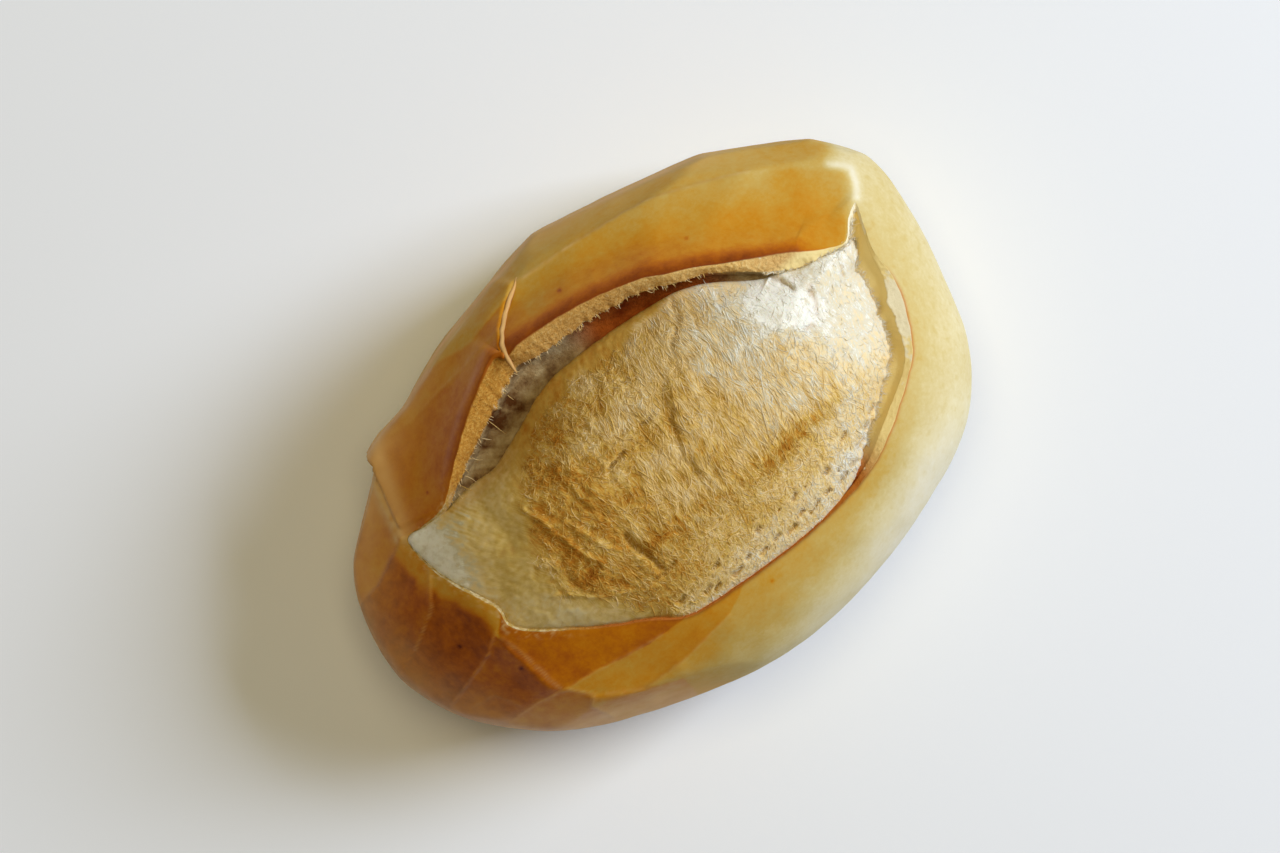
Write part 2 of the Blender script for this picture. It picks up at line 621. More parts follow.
# Pale raised seams between plates: path in plan, width, height, paleness.
SEAMS = {
    "cheek_to_end": (CHEEK_FOOT, 0.27, 0.12, 0.16),
    "end_upper_to_middle": (END_UPPER_FOOT, 0.24, 0.10, 0.32),
    "end_middle_to_lower": (
        [(-39.2, -4.8), (-42.4, -6.6), (-46.5, -7.6), (-50.8, -8.5), (-54.2, -9.3)],
        0.27, 0.12, 0.16,
    ),
    "end_lower_step": ([(-51, -11.7), (-46.7, -12.5), (-44.8, -16.4)], 0.24, 0.08, 0.14),
    "end_lower_to_heel": (
        [(-47.0, -17.6), (-42.8, -17.9), (-38.7, -18.8), (-37.2, -19.2)],
        0.29, 0.10, 0.23,
    ),
    "end_to_tooth": (
        [(-39.2, -6.1), (-38.4, -9.4), (-38.2, -12.4), (-38.0, -15.3), (-37.8, -19.2)],
        0.29, 0.10, 0.27,
    ),
    "heel_to_foot": (
        [(-37.2, -19.2), (-34.9, -22.4), (-34.6, -23.1), (-36.0, -24.2), (-35.3, -28.4)],
        0.29, 0.12, 0.36,
    ),
    "tooth_to_foot": (
        [(-37.2, -19.2), (-30.8, -20.5), (-26.9, -21.5), (-19.2, -23.0)],
        0.24, 0.10, 0.20,
    ),
    "foot_to_crust": ([(-33, -24.1), (-27.6, -28), (-19.3, -28.5), (-9.6, -27.7)], 0.27, 0.08, 0.18),
    "lid_to_cheek": (
        [(-41.1, 16.9), (-40.0, 21.8), (-39.0, 25.2), (-37.9, 27.9)],
        0.95, 0.30, 0.95,
    ),
    "lid_corner_tear": ([(-41.7, 17.2), (-40.4, 15.9)], 0.8, 0.05, 0.9),
    "flap_crease_torn": ([(0.9, 35.0), (4.5, 34.4), (7.6, 33.9), (12.5, 33.2)], 0.16, 0.10, 0.75),
    "flap_crease": (FLAP_CREASE, 0.26, 0.08, 0.36),
    "lid_crease": (LID_TOP, 0.28, 0.06, 0.11),
    "shoulder_crease": (SHOULDER_TOP, 0.28, 0.06, 0.11),
}

# The torn edge that stands up where the lid overlaps the flap, from the split outwards.
OVERLAP = [
    (-8.9, 23.6), (-8.6, 25.1), (-8.4, 26.5), (-7.7, 28.5), (-6.3, 30.2),
    (-3.9, 32.3), (-1.9, 33.5), (0, 34.6), (1.3, 35.6),
]

# The lid's left edge, which stands out over the cheek, from the split outwards.
LID_EDGE = [(-40.3, 17.6), (-39.0, 21.8), (-37.5, 25.6), (-36.4, 28.1), (-35.2, 30.1), (-34.2, 32.4)]
LID_EDGE_RIGHT = LID_EDGE[::-1]

# Where one plate laps over the next: path with the raised plate on its left, height, and how far
# the raised plate takes to come down again.
STEPS = [
    (OVERLAP, 0.7, 8.0),
    (LID_EDGE_RIGHT, 2.4, 9.0),
    ([(-41.2, 16.2), (-44.7, 15.2), (-48.9, 13.6), (-52.6, 13.2)], 0.3, 4.0),
    ([(-52, 1.4), (-46.4, 3.8), (-44.4, 4.8), (-42.4, 7.2), (-40.6, 9.4)], 0.25, 4.0),
    ([(-54.4, -9.4), (-50.8, -8.6), (-46.5, -7.7), (-42.4, -6.7), (-39.2, -5.0)], 0.3, 4.0),
    ([(-38.0, -19.0), (-38.4, -15.3), (-38.6, -12.4), (-38.9, -9.4), (-39.4, -6.1)], 0.3, 4.0),
    ([(-19.3, -28.5), (-27.6, -28), (-33, -24.1), (-36.4, -21.4)], 0.25, 4.0),
    ([(43.0, 22.0), *OUTER_CREASE[3::-1]], 0.2, 3.0),
]

# Patches of the crust seen from above: outline in plan, browning from 0 (pale) to 1 (dark), how
# much lighter its rim along the split is, and how wide that rim is.
PATCHES = {
    "skirt": (
        [(1, 35.3), *OUTER_CREASE, *FLAP_END, (54, 17), (60, 30), (50, 60), (10, 70), (4, 42)],
        0.41, 0, 0,
    ),
    "skirt_left": ([(1, 35.3), (4, 42), (10, 70), (-45, 70), (-38, 33), *SHOULDER_TOP], 0.45, 0, 0),
    "flap": (
        [(-8.4, 25.1), (-7.7, 28.5), (-3.9, 32.3), (1, 35.3), *OUTER_CREASE, *FLAP_END, (53, 12.8)]
        + [(51.8, 11.3), (50.1, 9.4), (47.4, 6.7), (44.4, 4.3), (30, 6), (10, 17), (-6, 20)],
        0.575, 0, 0,
    ),
    "shoulder": ([*LID_TOP, *SHOULDER_TOP[:0:-1]], 0.60, 0, 0),
    "lid": (
        [*LID_LEFT, *LID_TOP, (-7.7, 28.5), (-8.4, 25.1), (-10, 20), (-24, 13), (-32, 12), (-38, 13)],
        0.675, 0, 0,
    ),
    "cheek": (
        [(-38, 14), *CHEEK_FOOT, (-75, 12), (-60, 50), (-38, 33), (-34, 31.5), *LID_LEFT[::-1]],
        0.61, 0, 0,
    ),
    "end_upper": (
        [(-36, 14), *CHEEK_FOOT, (-75, 12), (-75, -4), *END_UPPER_FOOT[::-1], (-36, 10)],
        0.79, 0.27, 3.6,
    ),
    "end_middle": (
        [(-36, 10), *END_UPPER_FOOT, (-75, -4), (-75, -16), *END_MIDDLE_FOOT[::-1], (-34, -2)],
        0.82, 0.30, 3.0,
    ),
    "end_lower": (
        [*END_MIDDLE_FOOT, (-75, -16), *HEEL_TOP[::-1], (-38, -15.3), (-38.4, -9.4)],
        0.765, 0.04, 1.5,
    ),
    "heel": ([*HEEL_TOP, (-45, -60), *HEEL_SIDE], 0.66, 0, 0),
    "tooth": (
        [(-39.4, -6.1), (-38.4, -9.4), (-38, -15.3), (-37.8, -19.2), *TOOTH_FOOT]
        + [(-16, -18), (-26, -11), (-34, 0)],
        0.73, 0, 0,
    ),
    "tooth_foot": (
        [(-37.2, -19.2), *TOOTH_FOOT, (-3.8, -25.4), (-9.6, -27.7), (-19.3, -28.5)]
        + [(-27.6, -28), (-33, -24.1)],
        0.56, 0, 0,
    ),
    "foot": ([(-33, -24.1), (-27.6, -28), (-22, -31), (-26, -60), (-45, -60), *HEEL_SIDE], 0.58, 0, 0),
}

# How far beyond its width, and how far within it, the rim of a patch fades out.
RIM_FADE = (1.8, 1.0)

# Browning of the crust's lower sides and of its underside.
SIDE_BROWNING = 0.26
UNDERSIDE_BROWNING = 0.50

# White streak where the flap's far end leaves the crust, in plan.
FLAP_END_STREAK = ((51.4, 15.4), (53.6, 12.6), (53.0, 10.6), (51.0, 8.4))

# Small dark specks: place in plan, radius.
SPECKS = [
    (-0.8, -28.3, 0.3), (-45.4, -2.8, 0.35), (-40.2, -11.9, 0.35),
    (5, 29, 0.4), (25.7, 21.6, 0.35), (-32.7, 19.2, 0.25),
]

# Dark holes in the web that spans the crevice: place in plan, radius.
WEB_HOLES = [
    (-26.8, 14.6, 0.8), (-24.2, 14.9, 0.9), (-22.9, 16.0, 1.0),
    (-20.2, 17.3, 1.3), (-16.4, 20.6, 1.2), (-13.5, 21.0, 0.8),
]


def signed_stroke(x, y, path):
    """Distance to the left of a path (less than zero on its right), and how far along it, 0 to 1."""
    corners = np.array(path, dtype=float)
    lengths = np.linalg.norm(np.diff(corners, axis=0), axis=1)
    begins = np.concatenate([[0], np.cumsum(lengths)])
    nearest = np.full(np.shape(x), 1e9)
    signed, along = np.zeros(np.shape(x)), np.zeros(np.shape(x))
    for (ax, ay), (bx, by), begin, length in zip(corners[:-1], corners[1:], begins, lengths):
        ux, uy = (bx - ax) / length, (by - ay) / length
        raw = (x - ax) * ux + (y - ay) * uy
        walked = np.clip(raw, 0, length)
        away = np.hypot(x - ax - walked * ux, y - ay - walked * uy)
        side = ux * (y - ay) - uy * (x - ax)
        closer = away < nearest
        nearest = np.where(closer, away, nearest)
        signed = np.where(closer, np.where(side > 0, away, -away), signed)
        along = np.where(closer, (begin + walked) / begins[-1], along)
    return signed, along


def crust_ring_sets(samples):
    """Rings from under the crumb, up the crevice and the torn face, and down the outside.

    Each is its kind, its points, and the step between the samples that it keeps.
    """
    count = SPLIT_STEPS
    lip = samples["surface"] + np.column_stack([np.zeros((count, 2)), samples["lift"]])
    shelf = samples["shelf"]
    crevice = samples["crevice"]
    under_crumb = mix(crevice, np.array([*CRUMB_CENTRE, 0]), HIDDEN_INSET)
    under_crumb[:, 2] = crevice[:, 2] - HIDDEN_DROP
    rings = [("hidden", under_crumb, 1)]

    for ring in range(CREVICE_RINGS):
        share = ring / CREVICE_RINGS
        wall = mix(crevice, shelf, share)
        wall[:, 2] = mix(crevice[:, 2], shelf[:, 2], share**1.6)
        wall[:, :2] += samples["inward"] * (samples["jag"] * share**3)[:, None]
        rings.append(("crevice", wall, 1))

    for ring in range(TORN_RINGS):
        share = ring / TORN_RINGS
        torn = mix(shelf, lip, share)
        torn[:, :2] += samples["inward"] * (samples["jag"] * (1 - share) ** 2.5)[:, None]
        torn[:, 2] += TORN_BULGE * samples["flap"] * math.sin(share * math.pi)
        rings.append(("torn", torn, 1))

    start = samples["direction"]
    start_azimuth = np.arctan2(start[:, 1], start[:, 0])
    guides = ring_guides(samples)
    azimuths = ring_azimuths(guides)
    held = np.clip(turn_between(start_azimuth, guides) / 0.03, 0, 1)
    upper = UPPER_SHARE * (np.arange(UPPER_RINGS + 1) / UPPER_RINGS) ** RING_CROWDING
    lower = np.linspace(UPPER_SHARE, 1, LOWER_RINGS + 1)[1:]
    for ring, share in enumerate([*upper, *lower]):
        step = 1 if ring <= UPPER_RINGS else 2
        turned = smoothstep(share, 0.0, 0.08)
        spread = smoothstep(share, 0.0, 0.45)
        azimuth = start_azimuth + turned * turn_between(start_azimuth, guides)
        azimuth = azimuth + spread * turn_between(guides, azimuths)
        lowest = -np.arctan2(WIDEST_Z, BASE_SHARE * outline_radius(azimuth))
        fall = share * mix(1.0, smoothstep(share, 0.0, 0.12), held)
        direction = directions(azimuth, mix(np.arcsin(start[:, 2]), lowest, fall))
        point = crust_points(direction)
        away = np.linalg.norm(point - samples["surface"], axis=1)
        point[:, 2] += samples["lift"] * (1 - smoothstep(away, 0, FLAP_REACH)) ** 1.3
        rings.append(("crust", point[::step], step))
    return rings


def ring_faces(rings):
    """Faces between each ring and the next, where a ring may have half the points of the last."""
    faces = []
    begin = 0
    for (_, points, step), (_, next_points, next_step) in zip(rings[:-1], rings[1:]):
        following = begin + len(points)
        if step == next_step:
            faces += band_faces(begin, following, len(points))
        else:
            half = len(next_points)
            near = np.arange(half)
            far = (near + 1) % half
            a, b, c = begin + 2 * near, begin + 2 * near + 1, begin + 2 * far
            d, e = following + near, following + far
            for corners in ((a, b, d), (b, e, d), (b, c, e)):
                faces += np.stack(corners, axis=1).tolist()
        begin = following
    return faces


def mesh_normals(positions, faces):
    """Vertex normals of a mesh of triangles and quads, by its first three corners."""
    corners = np.array([face[:3] for face in faces])
    a, b, c = (positions[corners[:, k]] for k in range(3))
    facing = np.cross(b - a, c - a)
    normals = np.zeros_like(positions)
    for k in range(3):
        np.add.at(normals, corners[:, k], facing)
    return normals / np.maximum(np.linalg.norm(normals, axis=1), 1e-9)[:, None]


def crust_relief(place, from_lip, flap, torn, outside):
    """How far the crust stands out from its smooth shape, how pale its seams are and how broken,
    and the dark lines beside its steps."""
    x, y, z = place
    # the torn face is rough, the crust gently uneven, and the seams stand up a little
    rough = noise(place, 0.62, 20) + 0.7 * noise(place, 0.34, 21)
    lumps = noise(place, 9, 22) + 0.4 * noise(place, 4, 23)
    push = 0.13 * rough * mix(0.4, 1.0, flap) * torn
    push += 0.14 * lumps * smoothstep(z, 1.0, 6.0) * smoothstep(from_lip, 0.5, 4.0) * outside

    above = smoothstep(z, WIDEST_Z - 8, WIDEST_Z + 2)
    wander = 0.18 * noise((x, y), 2.2, 24)
    broken = np.clip(0.75 + 0.8 * noise((x, y), 1.1, 25), 0, 1)
    pale = np.zeros(len(x))
    for path, width, height, paleness in SEAMS.values():
        near = stroke(x + wander, y - wander, path, width) * above
        push += height * near * outside
        pale = np.maximum(pale, near * paleness * broken)

    line = np.zeros(len(x))
    for path, height, reach in STEPS:
        beside, along = signed_stroke(x + wander, y - wander, path)
        present = window(along, (0.0, 0.12), (0.88, 1.0)) * above
        if path is LID_EDGE_RIGHT:
            # the lid's edge stands out less towards the split
            sinking = mix(1.0, 0.3, smoothstep(along, 0.2, 0.8))
            present = sinking * (1 - smoothstep(along, 0.95, 1.0)) * above
        step = smoothstep(beside, -0.1, 0.25) * (1 - np.clip(beside - 0.25, 0, reach) / reach) ** 1.6
        push += present * height * step * outside
        line = np.maximum(line, present * min(height, 1.0) * bell(beside + 0.15, 0.25))
    return push, pale, broken, line


def crust_piece(samples, shift, material):
    """The crust's outside, torn face and crevice as one closed surface, and its heights in plan."""
    rings = crust_ring_sets(samples)
    kinds = np.concatenate([np.full(len(points), kind) for kind, points, _ in rings])
    around = np.concatenate([np.arange(0, SPLIT_STEPS, step) for _, _, step in rings])
    positions = np.concatenate([points for _, points, _ in rings])
    faces = ring_faces(rings)
    first, last = len(positions), len(positions) + 1
    inner_middle = np.array([*CRUMB_CENTRE, float(rings[0][1][:, 2].min())])
    outer_size = len(rings[-1][1])
    outer = len(positions) - outer_size
    positions = np.concatenate([positions, [inner_middle], [[0, 0, 0]]])
    kinds = np.concatenate([kinds, ["hidden", "crust"]])
    around = np.concatenate([around, [0, 0]])
    for step in range(SPLIT_STEPS):
        faces.append((first, (step + 1) % SPLIT_STEPS, step))
    for step in range(outer_size):
        faces.append((last, outer + step, outer + (step + 1) % outer_size))
    faces = [tuple(reversed(face)) for face in faces]

    normals = mesh_normals(positions, faces)
    lip = samples["surface"][around]
    lip[:, 2] += samples["lift"][around]
    from_lip = np.linalg.norm(positions - lip, axis=1)
    outside = kinds == "crust"
    torn = kinds == "torn"
    crevice = (kinds == "crevice") | (kinds == "hidden")
    over = outside & (positions[:, 2] > WIDEST_Z)
    relief = crust_relief(positions.T, from_lip, samples["flap"][around], torn, outside)
    push, pale, broken, line = relief
    positions = positions + normals * push[:, None]

    looks = crust_looks(positions, from_lip, samples["flap"][around], outside)
    looks["pale"] = np.maximum(pale * outside, looks.pop("rim") * broken)
    looks["edge"] = np.maximum(looks["edge"], line * outside)
    looks["torn"] = torn.astype(float)
    looks["crevice"] = crevice.astype(float)
    surface = HeightMap(positions[over], [], fall=0.0)
    positions[:, :2] += shift
    return make_mesh("roll_crust", positions, faces, looks, material), surface


def inside_by(x, y, outline):
    """How far inside an outline each place is; less than zero outside."""
    inside = np.zeros(np.shape(x), dtype=bool)
    corners = np.array(outline, dtype=float)
    for (ax, ay), (bx, by) in zip(corners, np.roll(corners, -1, axis=0)):
        if ay != by:
            crosses = (ay > y) != (by > y)
            inside ^= crosses & (x < ax + (y - ay) * (bx - ax) / (by - ay))
    away = stroke_distance(x, y, [*outline, outline[0]])
    return np.where(inside, away, -away)


def open_browning(x, y, z):
    """Browning of the unbroken crust: golden at the left and along the split, pale to the right."""
    place = x, y, z
    bake = mix(0.49, 0.33, smoothstep(x, -30, 44))
    outward = smoothstep(np.hypot(x / HALF_LENGTH, y / HALF_WIDTH), 0.74, 0.98)
    bake -= 0.28 * outward * smoothstep(x, -36, 2) * mix(1.0, 0.6, smoothstep(x, 28, 44))
    bake -= 0.05 * smoothstep(-y, 24, 32) * smoothstep(x, -30, -18)
    cloud = noise(place, 6, 37) + 0.5 * noise(place, 2.4, 38)
    freckle = noise(place, 1.3, 35)
    freckles = 0.035 * smoothstep(freckle, 0.3, 0.6) - 0.02 * smoothstep(-freckle, 0.35, 0.6)
    return bake + (0.015 * cloud + freckles) * smoothstep(x, -10, 30)


def patch_variation(name, x, y):
    """How the browning varies within the flap and the lid."""
    if name == "flap":
        right = 0.04 * smoothstep(x, 36, 44) + 0.14 * smoothstep(x, 44, 51)
        return 0.06 * smoothstep(-x, -38, 0) - 0.19 * stroke(x, y, FLAP_CREASE, 5.0) - right
    if name == "lid":
        corner = 0.05 * spot(x, y, (-38, 18), 4)
        return -corner - 0.08 * smoothstep(x, -22, -12) * smoothstep(y, 26, 30)
    return 0.0


def browning(x, y, z, from_lip, flap):
    """Browning of the whole crust, from 0 (pale) to 1 (dark)."""
    place = x, y, z
    wandering = [along + 0.25 * noise((x, y), 2.5, seed) for along, seed in ((x, 30), (y, 31))]
    bake = open_browning(x, y, z)
    softness = mix(0.18, 2.0, smoothstep(x, 44, 50))
    for name, (outline, level, rim, rim_width) in PATCHES.items():
        share = smoothstep(inside_by(*wandering, outline), -softness, softness)
        near = smoothstep(-from_lip, -rim_width - RIM_FADE[0], -rim_width + RIM_FADE[1])
        bake = mix(bake, level - rim * near + patch_variation(name, x, y), share)

    # the flap's edge is baked darkest
    edge = smoothstep(-from_lip, -4.5, -0.2) * flap
    bake += edge * mix(0.285, 0.03, smoothstep(x, 35, 42)) * mix(0.28, 1.0, smoothstep(x, -9, -5))
    # lower down the crust is pale, and underneath golden
    bake = mix(bake, SIDE_BROWNING, smoothstep(-z, -16, -5) * 0.75)
    bake = mix(bake, UNDERSIDE_BROWNING, smoothstep(-z, -2.0, -0.3))
    even = mix(1.0, 0.4, smoothstep(x, 10, 35))
    bake += (0.04 * noise(place, 11, 32) + 0.03 * noise(place, 4, 33)) * even
    blotch = noise(place, 1.8, 27) + 0.6 * noise(place, 0.8, 26)
    bake += 0.06 * blotch * smoothstep(-x, 34, 40)

    bake -= 0.22 * stroke(*wandering, FLAP_END_STREAK, 0.8) * (z > WIDEST_Z - 6)
    bake += 0.06 * spot(x, y, (55, 8), 6)
    for speck_x, speck_y, radius in SPECKS:
        bake += 0.25 * spot(x, y, (speck_x, speck_y), radius) * (z > WIDEST_Z)
    return bake


def web_paleness(x, y):
    """How pale the web across the crevice is, with dark ragged holes."""
    web = mix(0.50, 0.36, smoothstep(x, -18, -12)) + 0.06 * smoothstep(x, -6, 2)
    ragged = 1 + 0.4 * noise((x, y), 0.8, 36)
    for hole_x, hole_y, radius in WEB_HOLES:
        web -= 1.3 * bell(np.hypot(x - hole_x, y - hole_y), np.maximum(radius * ragged, 0.2))
    return web


def dustiness(x, y, z, outside):
    """Where the crust's far side and the lid's left rim are matt and pale."""
    place = x, y, z
    far_side = np.maximum(smoothstep(-x, 10, 24), smoothstep(y, 10, 24) * (1 - smoothstep(x, 30, 48)))
    far_side = far_side * window(z, (8, 22), (24, 37)) * mix(1.0, 0.72, smoothstep(-x, 36, 46))
    dust = 0.72 + 0.22 * (noise(place, 5, 19) + 0.6 * noise(place, 1.9, 18))
    lid_rim = stroke(x - 0.8, y, LID_EDGE, 1.6) * (z > WIDEST_Z)
    return (dust * far_side + 0.45 * lid_rim) * outside


def crust_looks(positions, from_lip, flap, outside):
    """What the crust's material reads at each place."""
    x, y, z = place = positions.T
    bake = browning(x, y, z, from_lip, flap)
    left_end = smoothstep(-x, 28, 34) * (1 - flap)
    crumbly = noise(place, 0.9, 29) + 0.6 * noise(place, 0.4, 28)
    rim = smoothstep(-from_lip, -2.0, -0.4) * np.clip(0.15 + 1.3 * crumbly, 0, 1) * 0.85
    brown_line = smoothstep(x, -26, -10) * smoothstep(-y, 2, 8) + 0.8 * flap
    tatters = noise((x, y), 1.5, 39) + 0.7 * noise((x, y), 0.6, 34)
    cream = left_end * np.clip(0.25 + 0.9 * crumbly, 0, 0.85)
    cream += 0.12 * smoothstep(x, 26, 36) * flap + smoothstep(x, 43, 45) * (y > 3)
    cream += smoothstep(flake_share(x, y) + 0.35 * tatters, 0.28, 0.42)
    lid_gloss = bell(from_lip - 2.0, 0.8) * smoothstep(-x, 9, 12) * flap
    light = mix(0.0, 0.4, smoothstep(x, -12, -2)) + 0.6 * smoothstep(x, 8, 17)
    return {
        "bake": np.clip(bake, 0, 1),
        "edge": bell(from_lip, 0.38) * outside * np.clip(brown_line, 0, 1),
        "rim": rim * outside * left_end,
        "cream": np.clip(cream, 0, 1),
        "crust_lip": left_end,
        "lower": window(x, (-30, -24), (20, 30)) * smoothstep(-y, 4, 10),
        "web": np.clip(web_paleness(x, y), 0, 1),
        "ember": window(x, (-1, 6), (22, 28)),
        "groove": groove_share(x, y),
        "gloss": 0.10 * smoothstep(bake, 0.3, 0.6) + 0.3 * lid_gloss * outside,
        "light": light * (1 - 0.6 * smoothstep(x, 30, 35)),
        "dusty": dustiness(x, y, z, outside),
    }


def evened_line(values, times):
    """Values along a line, each evened a number of times with its neighbours."""
    for _ in range(times):
        inner = (values[:-2] + values[1:-1] + values[2:]) / 3
        values = np.concatenate([values[:1], inner, values[-1:]])
    return values


def ribbon_piece(surface, plan_shift, material):
    """The torn edge of crust that curls up along the seam between the flap's two plates."""
    lengths = np.linalg.norm(np.diff(np.array(OVERLAP), axis=0), axis=1)
    begins = np.concatenate([[0], np.cumsum(lengths)])
    walked = np.linspace(0, begins[-1], RIBBON_STEPS)
    x, y = (
        evened_line(np.interp(walked, begins, [corner[axis] for corner in OVERLAP]), 3)
        + 0.12 * noise((walked,), 1.7, seed)
        for axis, seed in ((0, 80), (1, 81))
    )
    z = evened_line(surface.at(x, y)[0], 6)
    heading = np.arctan2(np.gradient(y), np.gradient(x))
    share = walked / walked[-1]
    taper = window(share, (0.0, 0.10), (0.75, 1.0))
    half_width = mix(0.36, 0.55, share) * (0.15 + 0.85 * taper)
    half_width *= 1 + 0.3 * noise((walked,), 1.5, 82)
    rise = 0.32 * (0.1 + 0.9 * taper)
    rings, tops = [], []
    for step in range(RIBBON_SIDES):
        turn = 2 * math.pi * step / RIBBON_SIDES
        across = math.cos(turn) * half_width
        up = (0.35 + math.sin(turn)) * rise
        aside = np.sin(heading) * across, -np.cos(heading) * across
        rings.append(np.column_stack([x + aside[0], y + aside[1], z + up]))
        tops.append(np.full(len(x), smoothstep(math.sin(turn), 0.1, 0.8)))
    count = len(x)
    along = np.arange(count - 1)
    faces = []
    for step in range(RIBBON_SIDES):
        near, far = step * count, (step + 1) % RIBBON_SIDES * count
        corners = near + along, near + along + 1, far + along + 1, far + along
        faces += np.stack(corners, axis=1).tolist()
    faces.append([step * count for step in range(RIBBON_SIDES)])
    faces.append([step * count + count - 1 for step in reversed(range(RIBBON_SIDES))])
    positions = np.concatenate(rings)
    positions[:, :2] += plan_shift
    top = np.concatenate(tops)
    flat = np.zeros(len(positions))
    looks = {"bake": mix(1.0, 0.75, top), "edge": 1 - top, "gloss": flat + 0.05, "pale": 0.75 * top}
    absent = ("torn", "crevice", "cream", "crust_lip", "lower", "web", "ember", "groove", "light", "dusty")
    looks.update((key, flat) for key in absent)
    return make_mesh("crust_ribbon", positions, faces, looks, material)


# ---- The crumb piece ----


def crumb_wander(x, y):
    """How far strokes and pores wander from their paths."""
    return [
        0.6 * noise((x, y), 3, broad) + 0.2 * noise((x, y), 0.9, fine)
        for broad, fine in ((40, 55), (41, 56))
    ]


def crumb_pores(x, y):
    """Where the small pores along the crumb's lower side are."""
    pores = np.zeros(np.shape(x))
    for pore_x, pore_y, half in CRUMB_PORES:
        path = ((pore_x - half, pore_y - 0.1 * half), (pore_x + half, pore_y + 0.2 * half))
        pores += stroke(x, y, path, PORE_WIDTH)
    return pores


def crumb_relief(x, y):
    """Coarse relief of the crumb: its strokes, pores and folds."""
    relief = np.zeros(np.shape(x))
    wander_x, wander_y = crumb_wander(x, y)
    for path, width, height in CRUMB_STROKES:
        relief += height * stroke(x + wander_x, y + wander_y, path, width)
    relief -= 0.8 * crumb_pores(x + 0.7 * wander_x, y + 0.7 * wander_y)
    for path, height, reach in CRUMB_FOLDS:
        beside, along = signed_stroke(x + wander_x, y + wander_y, path)
        beside = beside + 0.5 * noise((x, y), (1.2, 1.6), 66)
        present = window(along, (0.0, 0.15), (0.8, 1.0))
        present = present * np.clip(0.8 + 0.8 * noise((x, y), 2.0, 67), 0, 1)
        lobe = window(beside, (-0.5, 0.8), (1.5, reach))
        relief += present * height * (lobe - 0.2 * bell(beside + 0.4, 0.4))
    return relief


def crumb_swell(x, y):
    along = np.abs(x - CRUMB_CENTRE[0]) / CRUMB_HALF_AXES[0]
    across = np.abs(y - CRUMB_CENTRE[1]) / CRUMB_HALF_AXES[1]
    share = (along**CRUMB_PLAN_POWER + across**CRUMB_PLAN_POWER) ** (1 / CRUMB_PLAN_POWER)
    return CRUMB_TOP_Z - CRUMB_FALL * share**CRUMB_FALL_POWER + crumb_relief(x, y)


def crumb_zones(x, y):
    """Where the crumb is smooth skin, fluffy white, or fine and porous; the rest is torn fibre."""
    wander = 1.2 * noise((x, y), 4, 42) + 0.7 * noise((x, y), 1.4, 43)
    beside = signed_stroke(x, y, SKIN_EDGE)[0]
    blend = mix(1.3, 3.2, smoothstep(-x, 12, 24))
    skin = smoothstep(-beside + 1.3 * wander, -blend, blend) * (1 - smoothstep(x, 16, 22))
    white = smoothstep(x + 1.8 * wander + 0.3 * y, 21, 33) * (1 - 0.5 * smoothstep(-y, 8, 14))
    patch = bell(np.hypot(x - 29 + wander, (y - 3.5) * 1.3 + wander), 6.5)
    white = np.maximum(white, smoothstep(patch, 0.3, 0.8))
    low = smoothstep(-y + 0.6 * wander, 12.5, 15.0) * (1 - skin) * (1 - 0.8 * white)
    return skin, white, low


def curly_share(x, y):
    """Where the fibres are short and curled into clumps: the upper left of the crumb."""
    return smoothstep(noise((x, y), 5, 72) - 0.04 * x + 0.03 * (y - 2), 0.0, 0.5)


def fibre_lean(x):
    """How far the fibres lean to +X for each millimetre towards -Y."""
    return mix(0.29, -0.15, smoothstep(x, -22, 0))


def across_fibres(x, y):
    """A coordinate that stays even along the fibres and runs across them."""
    straight = x + fibre_lean(x) * y
    return straight + 1.4 * noise((x, y), 6, 44) + 0.35 * noise((x, y), 2.2, 45)


def fibre_height(x, y, skin, white, low):
    """Fine relief of the torn crumb: strands along the fibres, flakes and pits."""
    across = across_fibres(x, y)
    strands = (
        0.55 * noise((across, y), (1.15, 5.0), 46)
        + 0.50 * noise((across, y), (0.62, 3.2), 47)
        + 0.20 * noise((across, y), (0.38, 2.0), 48)
    )
    flakes = 0.5 - np.abs(noise((x, y), 0.9, 50))
    grains = noise((x, y), 0.42, 51)
    swells = noise((across, y), (2.6, 4.6), 57)
    curly = curly_share(x, y)
    clumps = noise((x, y), 1.2, 69)
    torn = 0.18 * strands * (1 - 0.5 * curly) + 0.24 * clumps * curly + 0.04 * flakes + 0.24 * swells
    fluffy = 0.22 * swells + 0.14 * noise((x, y), 1.6, 52) + 0.04 * flakes + 0.04 * grains
    pits = noise((x, y), (1.3, 0.8), 53) + 0.6 * noise((x, y), (0.6, 0.45), 64)
    pits = smoothstep(pits, 0.60, 0.95) * smoothstep(noise((x, y), (4, 3), 65), -0.15, 0.25)
    porous = 0.14 * flakes + 0.07 * grains - 0.45 * pits
    stretch = noise((across, y), (0.7, 3.5), 58)
    mottles = noise((x, y), 1.1, 49)
    smooth = 0.14 * noise((x, y), 3.5, 54) + 0.05 * stretch + 0.09 * mottles + 0.04 * grains
    height = mix(torn, fluffy, white)
    height = mix(height, porous + 0.3 * torn, low)
    height = mix(height, smooth, skin)
    return height, strands, pits


# Paths of darker and paler crumb, in plan.
TOASTED_RIDGE = ((-11.3, -11), (-4, -11.7), (0, -12.2), (7.5, -13.2), (18.8, -13.4), (27.3, -13.0))
TOASTED_CORNER = ((-22.5, -8.2), (-18.5, -7.6))
FLOURY_PATH = ((26.5, 6.0), (29.5, 2.2), (32.0, 0.0))
FLOURY_EDGE = ((32, 6.5), (38, 5.0), (43, 4.0))


